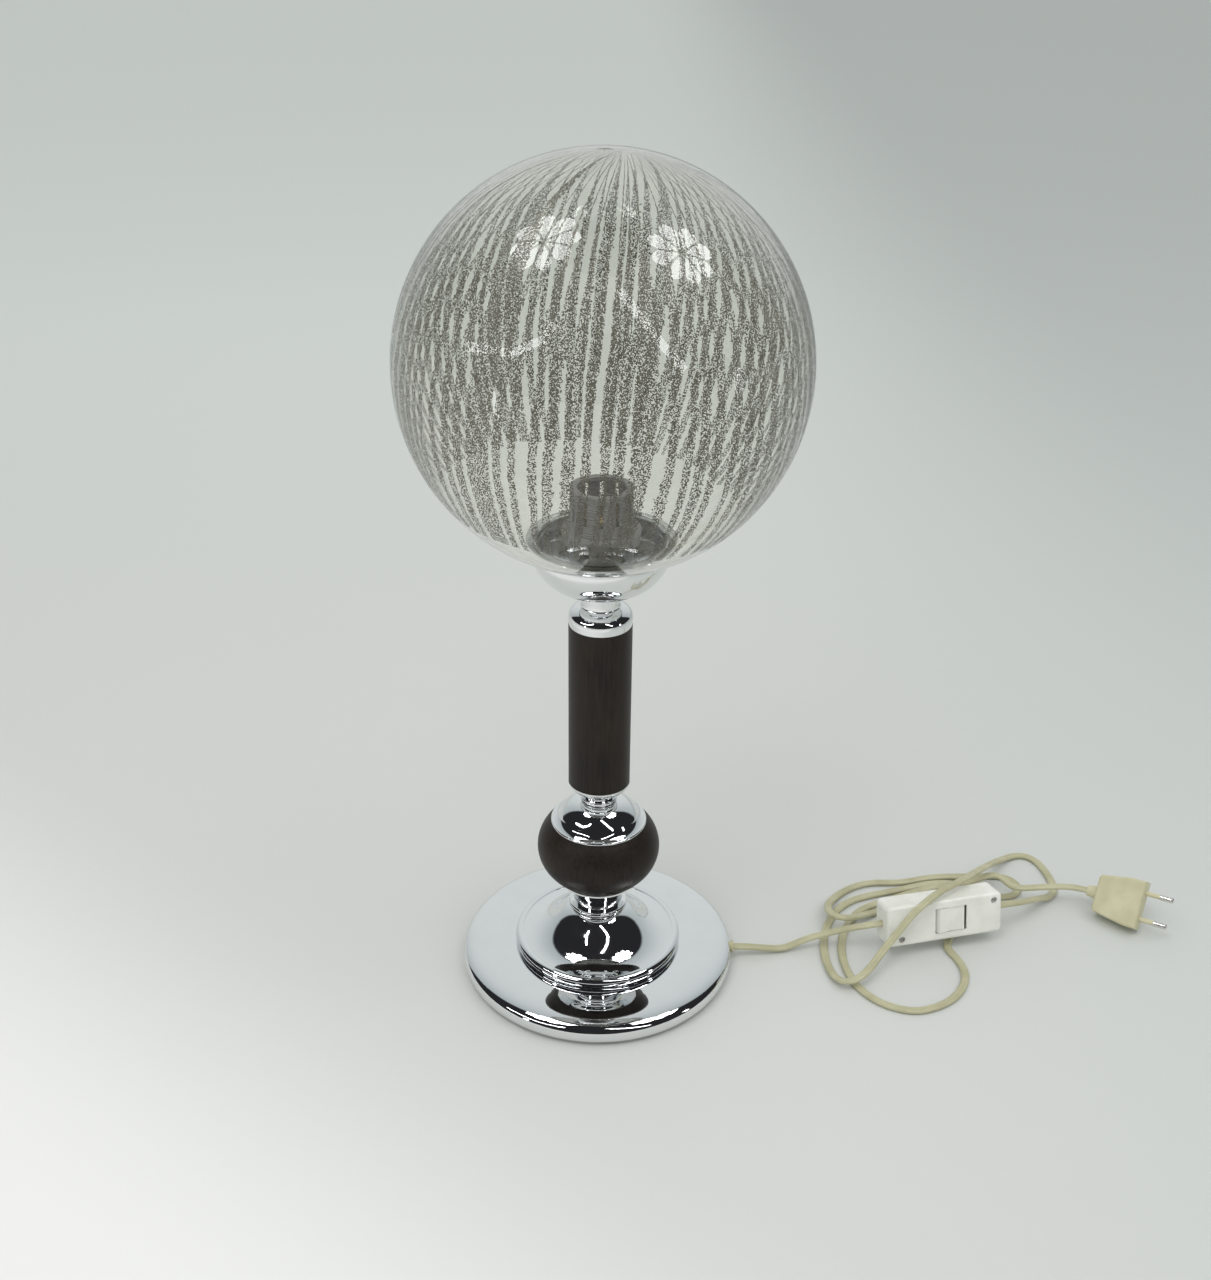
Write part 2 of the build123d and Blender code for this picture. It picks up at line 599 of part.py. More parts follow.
def tube_along(points, radii, radius):
    """Round tube along straight runs joined by tangent arcs."""
    path = FilletPolyline(*points, radius=radii)
    section = Plane(origin=path @ 0, z_dir=path % 0) * Circle(radius)
    tube = sweep(section, path=path)
    expected = math.pi * radius ** 2 * path.length
    print("tube length %.1f mm, volume ratio %.4f" % (path.length, tube.volume / expected))
    return tube


def inner_flex():
    """Flex inside the lamp: from the grommet under the ballast and up the tube."""
    gentle = FLEX_RISE * 0.8
    points = [
        (BASE_RADIUS, 0, CORD_EXIT_HEIGHT), (FLEX_RISE_END, 0, CORD_EXIT_HEIGHT),
        (FLEX_RISE_START, 0, FLEX_HEIGHT), (0, 0, FLEX_HEIGHT), (0, 0, INSERT_BOTTOM),
    ]
    return tube_along(points, [gentle, gentle, FLEX_BEND], CORD_RADIUS)


def cord_grommet():
    """Bush with a lip each side of the shell's wall."""
    half = GROMMET_NECK / 2
    middle = BASE_RADIUS - BASE_SHEET
    outline = lines(
        (CORD_HOLE, -half - GROMMET_LIP), (GROMMET_RADIUS, -half - GROMMET_LIP),
        (GROMMET_RADIUS, -half), (GROMMET_NECK_RADIUS, -half), (GROMMET_NECK_RADIUS, half),
        (GROMMET_RADIUS, half), (GROMMET_RADIUS, half + GROMMET_LIP),
        (CORD_HOLE, half + GROMMET_LIP), (CORD_HOLE, -half - GROMMET_LIP),
    )
    return Pos(middle, 0, CORD_EXIT_HEIGHT) * Rot(0, 90, 0) * turned(*outline)


# ---- cord -------------------------------------------------------------------------------

ROUTE_TO_SWITCH = [
    (90.3, 0, 8), (101, 0, 8), (113, 2.5, 5.5), (125.5, 4.5, 3.5), (134, 7, 5), (142.5, 7.5, 9),
    (153, 8.5, 12), (163.5, 9, 15), (173, 7.5, 19), (182.7, 6.8, 21.7), (197.2, 10.4, 21.7),
]

ROUTE_TO_PLUG = [
    (271, 28.8, 21.7), (285.5, 32.4, 21.7), (298, 40, 17.5), (311, 54.5, 9), (322.5, 63.5, 4),
    (330, 73, 2.7), (330.5, 84, 2.7), (329, 96, 2.7), (326, 107.5, 2.7), (319.5, 115.5, 2.7),
    (310, 116, 2.7), (299, 108, 4.5), (287.2, 91.3, 12.5), (276, 74.2, 21), (264, 55.5, 30),
    (253.2, 36.3, 39.9), (242, 25.8, 41.8), (231.2, 16.3, 43.4), (219.6, 4.5, 43.2),
    (211, 0.9, 35.8), (203.2, -3.5, 26.4), (196.6, -7.4, 19.3), (189.7, -12.7, 12.5),
    (181.7, -23.4, 9.8), (173.9, -32, 9), (165.9, -33.8, 7), (159.6, -27.4, 4.4),
    (156, -15, 3), (154.5, 1.5, 2.7), (156.5, 19.5, 2.7), (162.5, 37, 2.7), (171, 51, 2.7),
    (181.5, 60, 2.7), (194, 65.5, 2.7), (209, 70, 2.7), (223, 74.5, 2.7), (237, 78.5, 3.5),
    (252, 80, 4), (265, 77.5, 3.5), (276.5, 71, 2.7), (287, 65.5, 2.7), (298, 66.5, 2.7),
    (305, 75, 2.7), (302.5, 85.5, 2.7), (292.5, 90.5, 2.7), (279.5, 90, 2.7), (266, 88, 3.5),
    (252, 87, 4), (237.5, 85.5, 3.5), (223, 81.7, 2.7), (209.5, 80.7, 2.7), (201, 81, 2.7),
    (190, 78.5, 2.7), (179, 72, 2.7), (170, 62.5, 3.5), (163, 50.5, 6.5), (161, 35.5, 10.5),
    (165, 27, 13), (173.5, 26, 12.5), (183, 34, 8), (194, 45, 3.5), (206, 50, 2.7),
    (218.5, 56.5, 2.7), (231.5, 62.5, 3.5), (246, 65, 4), (257.5, 60, 3), (261, 49, 2.7),
    (256.5, 37.5, 2.7), (248.5, 28, 2.7), (242.5, 17.5, 2.7), (239.5, 8.5, 2.7),
    (243.5, 0, 2.7), (247, -9.5, 2.7), (247, -22, 2.7), (241.5, -34.5, 2.7),
    (232.5, -45, 2.7), (220.5, -52, 2.7), (208.5, -55.5, 2.7), (197, -53.5, 2.7),
    (187, -48.5, 2.7), (179, -41, 2.7), (172.5, -31.5, 2.7), (168.5, -19.5, 2.7),
    (166.5, -4.5, 2.7), (167.5, 11, 2.7), (171.5, 26.5, 2.7), (178.5, 39, 2.7),
    (187, 50, 2.7), (200.5, 57.5, 2.7), (214.5, 64, 2.7), (229, 70, 3.5), (244, 73.5, 4.5),
    (258, 73, 7.5), (270, 72.5, 10.5), (282.8, 78.2, 12.3), (290.5, 74.4, 13),
    (293.1, 64.9, 13.3), (299.6, 60.4, 13.5), (310.5, 61.3, 13.8), (321.3, 62.1, 14),
    (330.7, 62.5, 14.1), (343.24, 61.9, 13.54), (353.7, 54.3, 14.9),
]

# each stretch of the second cord, as a node and the last point of its own
CORD_STRETCHES = (
    ("cord_over_switch", 27),
    ("cord_behind_switch", 51),
    ("cord_under_switch", 72),
    ("cord_front_loop", 88),
    ("cord_to_plug", len(ROUTE_TO_PLUG) - 1),
)


def corner_radii(route):
    """Radius at each inner point: as large as its two runs allow."""
    radii = []
    for before, here, after in zip(route, route[1:], route[2:]):
        arriving = Vector(here) - Vector(before)
        leaving = Vector(after) - Vector(here)
        half_turn = math.radians(arriving.get_angle(leaving)) / 2
        shorter = min(arriving.length, leaving.length)
        radii.append(0.45 * shorter / math.tan(half_turn))
    return radii


def midpoint(first, second):
    return tuple((a + b) / 2 for a, b in zip(first, second))


def stretch(route, radii, first, last):
    """Tube over the route's points first to last, met half way along the runs beside it."""
    points = [route[number] for number in range(first, last + 1)]
    start, end = max(first, 1), min(last, len(route) - 2)
    if first > 0:
        points.insert(0, midpoint(route[first - 1], route[first]))
    if last < len(route) - 1:
        points.append(midpoint(route[last], route[last + 1]))
    return tube_along(points, radii[start - 1:end], CORD_RADIUS)


def save_cords():
    radii = corner_radii(ROUTE_TO_SWITCH)
    print("radii to the switch:", [round(radius, 1) for radius in radii])
    save("cord_base_to_switch", stretch(ROUTE_TO_SWITCH, radii, 0, len(ROUTE_TO_SWITCH) - 1))
    radii = corner_radii(ROUTE_TO_PLUG)
    print("radii to the plug:", [round(radius, 1) for radius in radii])
    first = 0
    for node, last in CORD_STRETCHES:
        save(node, stretch(ROUTE_TO_PLUG, radii, first, last))
        first = last + 1


# ---- switch: x along its length, y up its face, z out of its face ------------------------


def tilted_frame(place, azimuth, rise, lean):
    """Plane with x along a piece that lies in this direction and its face leaned back."""
    turn, climb, back = (math.radians(angle) for angle in (azimuth, rise, lean))
    along = Vector(
        math.cos(turn) * math.cos(climb), math.sin(turn) * math.cos(climb), math.sin(climb)
    )
    level = Vector(-math.sin(turn), math.cos(turn), 0)
    upright = along.cross(level)
    face = upright * math.cos(back) - level * math.sin(back)
    return Plane(origin=place, x_dir=along, z_dir=face)


SWITCH_FRAME = tilted_frame(SWITCH_PLACE, SWITCH_AZIMUTH, 0, SWITCH_LEAN)
PLUG_FRAME = tilted_frame(PLUG_PLACE, PLUG_AZIMUTH, PLUG_RISE, PLUG_LEAN)
ROCKER_PIN_HEIGHT = SWITCH_HEIGHT - ROCKER_PIN_DEPTH


def switch_block(bottom, top, shrink=0.0):
    """Slab of the switch's rounded outline between two heights."""
    corner = max(SWITCH_CORNER - shrink, 0.5)
    outline = RectangleRounded(SWITCH_LENGTH - 2 * shrink, SWITCH_WIDTH - 2 * shrink, corner)
    return Pos(0, SWITCH_WIDTH / 2, bottom) * extrude(outline, top - bottom)


def cord_holes():
    """Bar along the switch that cuts the cord's way in at both ends."""
    bar = Rot(0, 90, 0) * Cylinder(CORD_HOLE, 2 * SWITCH_LENGTH)
    return Pos(0, SWITCH_WIDTH / 2, SWITCH_CORD_HEIGHT) * bar


def post(place, radius, bottom, top):
    """Upright round post or cutter inside the switch."""
    rod = Cylinder(radius, top - bottom, align=(Align.CENTER, Align.CENTER, Align.MIN))
    return Pos(place[0], place[1], bottom) * rod


def switch_base():
    shell = switch_block(0, SWITCH_SPLIT)
    shell = fillet(shell.faces().sort_by(Axis.Z)[0].edges(), SWITCH_EDGE * 0.7)
    shell -= switch_block(SWITCH_WALL, SWITCH_SPLIT + 1, SWITCH_WALL)
    for place in SCREW_PLACES:
        shell += post(place, BOSS_RADIUS, SWITCH_WALL / 2, SWITCH_SPLIT)
        shell -= post(place, SCREW_RADIUS + SCREW_GAP, SWITCH_WALL, SWITCH_SPLIT + 1)
    return SWITCH_FRAME * (shell - cord_holes())


def bearing_lugs():
    """Two ears under the cover that carry the rocker's pin."""
    reach = ROCKER_WIDTH / 2 + ROCKER_SIDE_GAP
    ear = Box(2 * BEARING_HALF, ROCKER_PIN_LENGTH, SWITCH_HEIGHT - SWITCH_WALL / 2 -
              ROCKER_PIN_HEIGHT + BEARING_HALF,
              align=(Align.CENTER, Align.MIN, Align.MIN))
    ears = []
    for side in (-1, 1):
        y = SWITCH_WIDTH / 2 + (reach if side > 0 else -reach - ROCKER_PIN_LENGTH)
        ears.append(Pos(ROCKER_PLACE, y, ROCKER_PIN_HEIGHT - BEARING_HALF) * ear)
    bore = Rot(90, 0, 0) * Cylinder(ROCKER_PIN_RADIUS + ROCKER_PIN_GAP, 2 * SWITCH_WIDTH)
    bore = Pos(ROCKER_PLACE, SWITCH_WIDTH / 2, ROCKER_PIN_HEIGHT) * bore
    return [ear - bore for ear in ears]


def switch_cover():
    inside_top = SWITCH_HEIGHT - SWITCH_WALL
    shell = switch_block(SWITCH_SPLIT, SWITCH_HEIGHT)
    shell = fillet(shell.faces().sort_by(Axis.Z)[-1].edges(), SWITCH_EDGE)
    shell -= switch_block(SWITCH_SPLIT - 1, inside_top, SWITCH_WALL)
    window = Box(ROCKER_WINDOW, ROCKER_WIDTH + 2 * ROCKER_SIDE_GAP, 3 * SWITCH_WALL)
    shell -= Pos(ROCKER_PLACE, SWITCH_WIDTH / 2, SWITCH_HEIGHT) * window
    for place in SCREW_PLACES:
        shell += post(place, BOSS_RADIUS, SWITCH_SPLIT, inside_top + SWITCH_WALL / 2)
        shell -= post(place, SCREW_RADIUS + SCREW_GAP, SWITCH_SPLIT - 1, SWITCH_HEIGHT + 1)
        head_bottom = SWITCH_HEIGHT - SCREW_SUNK - SCREW_HEAD
        shell -= post(place, SCREW_HEAD_RADIUS + SCREW_GAP, head_bottom, SWITCH_HEIGHT + 1)
    for lug in bearing_lugs():
        shell += lug
    return SWITCH_FRAME * (shell - cord_holes())


def switch_rocker():
    """Rocker with a shallow V face, rounded ends and its pin, clicked down at the cord's far end."""
    low = SWITCH_HEIGHT - ROCKER_RECESS
    rise = math.tan(math.radians(ROCKER_TRAVEL)) * ROCKER_RADIUS
    foot = ROCKER_PIN_HEIGHT - ROCKER_PIN_RADIUS - ROCKER_FOOT
    end = ROCKER_RADIUS
    outline = Polyline(
        (-end, foot), (end, foot), (end, low), (0, low), (-end, low + rise), (-end, foot)
    )
    body = extrude(Plane.XZ * make_face(outline), ROCKER_WIDTH / 2, both=True)
    drum = Pos(0, 0, ROCKER_PIN_HEIGHT) * Rot(90, 0, 0) * Cylinder(ROCKER_RADIUS, SWITCH_WIDTH)
    pin_length = ROCKER_WIDTH + 2 * (ROCKER_SIDE_GAP + ROCKER_PIN_LENGTH)
    pin = Pos(0, 0, ROCKER_PIN_HEIGHT) * Rot(90, 0, 0) * Cylinder(ROCKER_PIN_RADIUS, pin_length)
    return SWITCH_FRAME * Pos(ROCKER_PLACE, SWITCH_WIDTH / 2, 0) * ((body & drum) + pin)


def switch_screws():
    """Two cover screws, sunk in their holes."""
    screws = []
    for place in SCREW_PLACES:
        head_top = SWITCH_HEIGHT - SCREW_SUNK
        screw = post(place, SCREW_HEAD_RADIUS, head_top - SCREW_HEAD, head_top)
        screw += post(place, SCREW_RADIUS, SWITCH_WALL + 0.4, head_top - SCREW_HEAD)
        slot = Pos(place[0], place[1], head_top) * Box(2 * SCREW_HEAD_RADIUS, 0.6, 1.0)
        screws.append(SWITCH_FRAME * (screw - slot))
    return Compound(children=[solid for screw in screws for solid in screw.solids()])


def switch_contacts():
    """Two contact blades standing on the floor of the lower half."""
    blades = []
    for side in (-1, 1):
        foot = Box(BLADE_REACH / 2, BLADE_WIDTH, BLADE_THICKNESS,
                   align=(Align.MIN if side > 0 else Align.MAX, Align.CENTER, Align.MIN))
        blade = Box(BLADE_THICKNESS, BLADE_WIDTH, BLADE_HEIGHT,
                    align=(Align.MIN if side > 0 else Align.MAX, Align.CENTER, Align.MIN))
        x = ROCKER_PLACE + side * 3.0
        blades.append(SWITCH_FRAME * Pos(x, SWITCH_WIDTH / 2, SWITCH_WALL) * (foot + blade))
    return Compound(children=[solid for blade in blades for solid in blade.solids()])


# ---- plug: x from the cord to the pins, y across the pins --------------------------------


def plug_body():
    """Flat plug, wider at the pins, with softened edges and blind seats for the pins."""
    half, back = PLUG_WIDTH / 2, PLUG_BACK_WIDTH / 2
    shoulder = PLUG_LENGTH * 0.72
    outline = make_face(Polyline(
        (0, -back), (shoulder, -half), (PLUG_LENGTH, -half), (PLUG_LENGTH, half),
        (shoulder, half), (0, back), (0, -back),
    ))
    body = extrude(outline, PLUG_THICKNESS / 2, both=True)
    body = fillet(body.edges().filter_by(Axis.Z).sort_by(Axis.X)[:2], PLUG_CORNER)
    long_edges = body.faces().sort_by(Axis.Z)[-1].edges() + body.faces().sort_by(Axis.Z)[0].edges()
    body = fillet(long_edges, PLUG_EDGE)
    seat = Rot(0, 90, 0) * Cylinder(PIN_CORE_RADIUS, PIN_TIP,
                                    align=(Align.CENTER, Align.CENTER, Align.MAX))
    for side in (-1, 1):
        body -= Pos(PLUG_LENGTH, side * PIN_SPACING / 2, 0) * seat
    return PLUG_FRAME * body


def plug_strain_relief():
    """Short tapered collar round the cord."""
    collar = Ellipse(RELIEF_WIDTH / 2, RELIEF_THICKNESS / 2)
    small = Ellipse(RELIEF_WIDTH * RELIEF_TAPER / 2, RELIEF_THICKNESS * RELIEF_TAPER / 2)
    sections = [
        Plane(origin=(0, 0, 0), x_dir=(0, 1, 0), z_dir=(-1, 0, 0)) * collar,
        Plane(origin=(-RELIEF_LENGTH, 0, 0), x_dir=(0, 1, 0), z_dir=(-1, 0, 0)) * small,
    ]
    bore = Rot(0, 90, 0) * Cylinder(CORD_HOLE, 4 * RELIEF_LENGTH)
    return PLUG_FRAME * (loft(sections) - bore)


def lying(radius, start, end, side):
    """Round bar along the plug, on one pin's line."""
    bar = Rot(0, 90, 0) * Cylinder(radius, end - start,
                                   align=(Align.CENTER, Align.CENTER, Align.MIN))
    return Pos(start, side * PIN_SPACING / 2, 0) * bar


def plug_pins():
    """Metal pins: thin core in the plug and the shank, full size at the tip."""
    tip_start = PLUG_LENGTH + PIN_LENGTH - PIN_TIP
    pins = []
    for side in (-1, 1):
        core = lying(PIN_CORE_RADIUS, PLUG_LENGTH - PIN_TIP, tip_start, side)
        tip = lying(PIN_RADIUS, tip_start, PLUG_LENGTH + PIN_LENGTH, side)
        tip = fillet(tip.edges().filter_by(GeomType.CIRCLE).sort_by(Axis.X)[-1],
                     PIN_RADIUS * 0.6)
        pins.append(PLUG_FRAME * (core + tip))
    return Compound(children=[solid for pin in pins for solid in pin.solids()])


def plug_pin_sleeves():
    """Insulated shanks of the pins."""
    end = PLUG_LENGTH + PIN_LENGTH - PIN_TIP
    sleeves = []
    for side in (-1, 1):
        tube = lying(PIN_SLEEVE_RADIUS, PLUG_LENGTH, end, side)
        tube -= lying(PIN_CORE_RADIUS, PLUG_LENGTH - 1, end + 1, side)
        sleeves.append(PLUG_FRAME * tube)
    return Compound(children=[solid for sleeve in sleeves for solid in sleeve.solids()])


# ---- all nodes --------------------------------------------------------------------------

MAKERS = (
    base_felt, base_ballast, base_shell, base_washer, base_nut, threaded_tube,
    saucer, saucer_ring, lower_neck, ball_seat, wood_ball, ball_cap, cap_ring, column_neck,
    lower_ferrule, wood_column, upper_ferrule, cup_ring, gallery_cup, cup_washer, cup_locknut,
    glass_globe, lampholder_cap, lampholder_insert, screw_shell, centre_contact, terminals,
    lampholder_sleeve, shade_ring, inner_flex, cord_grommet,
    switch_base, switch_cover, switch_rocker, switch_screws, switch_contacts,
    plug_body, plug_strain_relief, plug_pins, plug_pin_sleeves,
)


def main():
    os.makedirs("parts", exist_ok=True)
    for maker in MAKERS:
        save(maker.__name__, maker())
    save_cords()


main()
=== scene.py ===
"""Looks of the glass globe table lamp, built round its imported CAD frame."""

import math

import bpy
from mathutils import Matrix, Vector


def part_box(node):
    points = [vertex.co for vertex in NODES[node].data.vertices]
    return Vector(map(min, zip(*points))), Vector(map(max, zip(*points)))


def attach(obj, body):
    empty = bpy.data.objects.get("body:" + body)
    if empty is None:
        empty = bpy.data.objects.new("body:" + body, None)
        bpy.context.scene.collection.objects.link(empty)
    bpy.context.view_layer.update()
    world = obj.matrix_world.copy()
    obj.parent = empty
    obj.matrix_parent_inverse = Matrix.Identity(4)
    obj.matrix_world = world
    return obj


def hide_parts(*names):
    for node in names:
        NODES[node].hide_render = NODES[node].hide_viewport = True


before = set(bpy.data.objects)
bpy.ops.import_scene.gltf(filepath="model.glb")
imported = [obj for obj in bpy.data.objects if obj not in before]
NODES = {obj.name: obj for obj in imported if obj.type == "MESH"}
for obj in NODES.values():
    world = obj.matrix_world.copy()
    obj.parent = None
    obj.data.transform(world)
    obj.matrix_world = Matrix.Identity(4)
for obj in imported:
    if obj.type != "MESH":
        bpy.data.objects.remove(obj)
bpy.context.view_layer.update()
SCENE = bpy.context.scene

MM = 0.001
GLOBE_CENTRE = (0.0, 0.0, 0.4159)
GLOBE_RADIUS = 0.1173


# ---- camera -------------------------------------------------------------------------------

FRAME_WIDTH, FRAME_HEIGHT = 1211, 1280      # the photograph's pixels
FOCAL_PIXELS = 1550.0
SENSOR = 36.0
CAMERA_PLACE = Vector((0.00309, -0.8281, 0.6915))
CAMERA_PITCH = math.radians(28.41)
CAMERA_ROLL = math.radians(0.65)


def make_camera():
    """Camera at the photograph's viewpoint; its lens comes from the frame's long side."""
    data = bpy.data.cameras.new("camera")
    data.sensor_width = SENSOR
    data.lens = FOCAL_PIXELS * SENSOR / max(FRAME_WIDTH, FRAME_HEIGHT)
    data.clip_start = 0.01
    data.clip_end = 100.0
    level = Vector((1, 0, 0))
    above = Vector((0, math.sin(CAMERA_PITCH), math.cos(CAMERA_PITCH)))
    right = level * math.cos(CAMERA_ROLL) + above * math.sin(CAMERA_ROLL)
    up = above * math.cos(CAMERA_ROLL) - level * math.sin(CAMERA_ROLL)
    back = right.cross(up)
    camera = bpy.data.objects.new("camera", data)
    camera.matrix_world = Matrix.Translation(CAMERA_PLACE) @ Matrix(
        (right, up, back)).transposed().to_4x4()
    SCENE.collection.objects.link(camera)
    SCENE.camera = camera


make_camera()


# ---- shader helpers ------------------------------------------------------------------------


def new_material(name):
    """A new material, its node tree and its main shader."""
    material = bpy.data.materials.new(name)
    material.use_nodes = True
    tree = material.node_tree
    return material, tree, tree.nodes["Principled BSDF"]


def put(tree, kind, inputs=None, **settings):
    """Adds a node; inputs maps a socket's name or number to a value or a socket to link."""
    node = tree.nodes.new(kind)
    for key, value in settings.items():
        setattr(node, key, value)
    for key, value in (inputs or {}).items():
        if isinstance(value, bpy.types.NodeSocket):
            tree.links.new(value, node.inputs[key])
        else:
            node.inputs[key].default_value = value
    return node


def calc(tree, operation, *values):
    inputs = dict(enumerate(values))
    return put(tree, "ShaderNodeMath", inputs, operation=operation).outputs[0]


def vector_calc(tree, operation, first, second=None):
    inputs = {0: first}
    if second is not None:
        inputs[1] = second
    node = put(tree, "ShaderNodeVectorMath", inputs, operation=operation)
    return node.outputs["Value" if operation in ("DOT_PRODUCT", "LENGTH") else "Vector"]


def place(tree):
    """The point in the object's own frame, in metres; it moves with the body."""
    return put(tree, "ShaderNodeTexCoord").outputs["Object"]


def stretched(tree, vector, scale):
    return put(tree, "ShaderNodeMapping", {"Vector": vector, "Scale": scale}).outputs[0]


def noise(tree, vector, scale, detail=2.0, roughness=0.5):
    inputs = {"Vector": vector, "Scale": scale, "Detail": detail, "Roughness": roughness}
    return put(tree, "ShaderNodeTexNoise", inputs).outputs["Fac"]


def smooth(tree, value, low, high, out_low=0.0, out_high=1.0):
    """Smooth step of value from low to high."""
    inputs = {"Value": value, "From Min": low, "From Max": high,
              "To Min": out_low, "To Max": out_high}
    node = put(tree, "ShaderNodeMapRange", inputs, interpolation_type="SMOOTHSTEP")
    return node.outputs["Result"]


def linear(tree, value, low, high, out_low=0.0, out_high=1.0):
    inputs = {"Value": value, "From Min": low, "From Max": high,
              "To Min": out_low, "To Max": out_high}
    return put(tree, "ShaderNodeMapRange", inputs).outputs["Result"]


def rgb(*values):
    return (*values, 1.0)


def mixed(tree, factor, first, second):
    node = put(tree, "ShaderNodeMix", data_type="RGBA")
    for socket, value in ((0, factor), (6, first), (7, second)):
        if isinstance(value, bpy.types.NodeSocket):
            tree.links.new(value, node.inputs[socket])
        else:
            node.inputs[socket].default_value = value
    return node.outputs[2]


def bump(tree, shader, height, strength, distance):
    inputs = {"Height": height, "Strength": strength, "Distance": distance}
    normal = put(tree, "ShaderNodeBump", inputs).outputs["Normal"]
    tree.links.new(normal, shader.inputs["Normal"])


def wire(tree, socket, shader, name):
    tree.links.new(socket, shader.inputs[name])


# ---- materials -----------------------------------------------------------------------------


def chrome():
    """Polished chrome plate: near mirror, with faint smudges and fine wiping marks."""
    material, tree, shader = new_material("chrome")
    point = place(tree)
    smudge = noise(tree, point, 55.0, 4.0, 0.6)
    wipe = noise(tree, stretched(tree, point, (1, 1, 8)), 420.0, 2.0)
    shader.inputs["Metallic"].default_value = 1.0
    wire(tree, mixed(tree, smudge, rgb(0.78, 0.80, 0.81), rgb(0.85, 0.86, 0.87)),
         shader, "Base Color")
    rough = calc(tree, "MULTIPLY", smooth(tree, smudge, 0.45, 0.8), 0.055)
    wire(tree, calc(tree, "ADD", rough, 0.022), shader, "Roughness")
    bump(tree, shader, wipe, 0.02, 0.0002)
    return material


def wood():
    """Very dark stained wood: upright grain, pores and a satin lacquer."""
    material, tree, shader = new_material("dark_wood")
    point = place(tree)
    drift = noise(tree, point, 18.0, 2.0)
    grain = noise(tree, stretched(tree, point, (1, 1, 0.06)), 650.0, 4.0, 0.62)
    pores = noise(tree, stretched(tree, point, (1, 1, 0.035)), 2600.0, 2.0)
    figure = calc(tree, "ADD", calc(tree, "MULTIPLY", grain, 0.7),
                  calc(tree, "MULTIPLY", drift, 0.45))
    body = mixed(tree, smooth(tree, figure, 0.38, 0.78),
                 rgb(0.0075, 0.0056, 0.0042), rgb(0.024, 0.0165, 0.0115))
    pore = smooth(tree, pores, 0.58, 0.72)
    wire(tree, mixed(tree, calc(tree, "MULTIPLY", pore, 0.55), body,
                     rgb(0.006, 0.0045, 0.0035)), shader, "Base Color")
    wire(tree, linear(tree, grain, 0.3, 0.7, 0.38, 0.50), shader, "Roughness")
    shader.inputs["Specular IOR Level"].default_value = 0.22
    bump(tree, shader, calc(tree, "SUBTRACT", grain, pore), 0.10, 0.0003)
    return material


STRIPES = 76.0
STRIPE_LEAN = math.radians(-5.0)            # the pattern's axis against the stem
STRIPE_SHARE = (0.45, 0.80)                 # narrowest and widest, of a stripe's own room
STRIPE_SHARE_AT_TOP = 0.26                  # what is left of that share near the top
GRAIN_SCALE = 1350.0
PATTERN_BOTTOM = -0.669                     # height of its lower edge, as a share of the radius
PATTERN_SKIN = 1.1 * MM                     # only glass nearer than this to the outside has it


def speckled_stripes(tree, point):
    """Mask of the fired pattern: upright stripes of fine grains that thin out to lines at the top.

    Returns the mask and a slow variation for the glaze's shade.
    """
    lean = put(tree, "ShaderNodeMapping", {
        "Vector": vector_calc(tree, "SUBTRACT", point, GLOBE_CENTRE),
        "Rotation": (0.0, STRIPE_LEAN, 0.0)}).outputs[0]
    parts = put(tree, "ShaderNodeSeparateXYZ", {0: lean})
    radius = vector_calc(tree, "LENGTH", lean)
    height = calc(tree, "DIVIDE", parts.outputs["Z"], radius)
    around = calc(tree, "ARCTAN2", parts.outputs["Y"], parts.outputs["X"])
    flat = put(tree, "ShaderNodeCombineXYZ", {
        0: calc(tree, "COSINE", around), 1: calc(tree, "SINE", around),
        2: calc(tree, "MULTIPLY", height, 0.03)}).outputs[0]
    turn = calc(tree, "MULTIPLY", around, STRIPES / (2 * math.pi))
    uneven = linear(tree, noise(tree, flat, 4.0, 2.0), 0.2, 0.8, -0.9, 0.9)
    sway = linear(tree, noise(tree, lean, 14.0, 2.0), 0.2, 0.8, -0.20, 0.20)
    jitter = linear(tree, noise(tree, lean, 420.0, 1.0), 0.2, 0.8, -0.09, 0.09)
    place_in = calc(tree, "ADD", calc(tree, "ADD", turn, uneven), calc(tree, "ADD", sway, jitter))
    cell = calc(tree, "FLOORED_MODULO", calc(tree, "FLOOR", place_in), STRIPES)
    across = calc(tree, "FRACT", place_in)
    chance = put(tree, "ShaderNodeTexWhiteNoise", {"W": cell}, noise_dimensions="1D").outputs[0]
    share = linear(tree, chance, 0.0, 1.0, *STRIPE_SHARE)
    taper = smooth(tree, height, 0.48, 0.88, 1.0, STRIPE_SHARE_AT_TOP)
    edge = calc(tree, "MULTIPLY", share, taper)
    stripe = calc(tree, "LESS_THAN", across, edge)
    grain = noise(tree, lean, GRAIN_SCALE, 0.0)
    level = smooth(tree, height, 0.66, 0.95, 0.485, 0.36)
    grains = smooth(tree, calc(tree, "SUBTRACT", grain, level), -0.012, 0.012)
    ragged = linear(tree, noise(tree, lean, 60.0, 1.0), 0.2, 0.8, -0.02, 0.02)
    bottom = calc(tree, "GREATER_THAN", calc(tree, "ADD", height, ragged), PATTERN_BOTTOM)
    outside = calc(tree, "GREATER_THAN", radius, GLOBE_RADIUS - PATTERN_SKIN)
    mask = calc(tree, "MULTIPLY", calc(tree, "MULTIPLY", stripe, grains),
                calc(tree, "MULTIPLY", bottom, outside))
    return mask, noise(tree, lean, 40.0, 2.0)


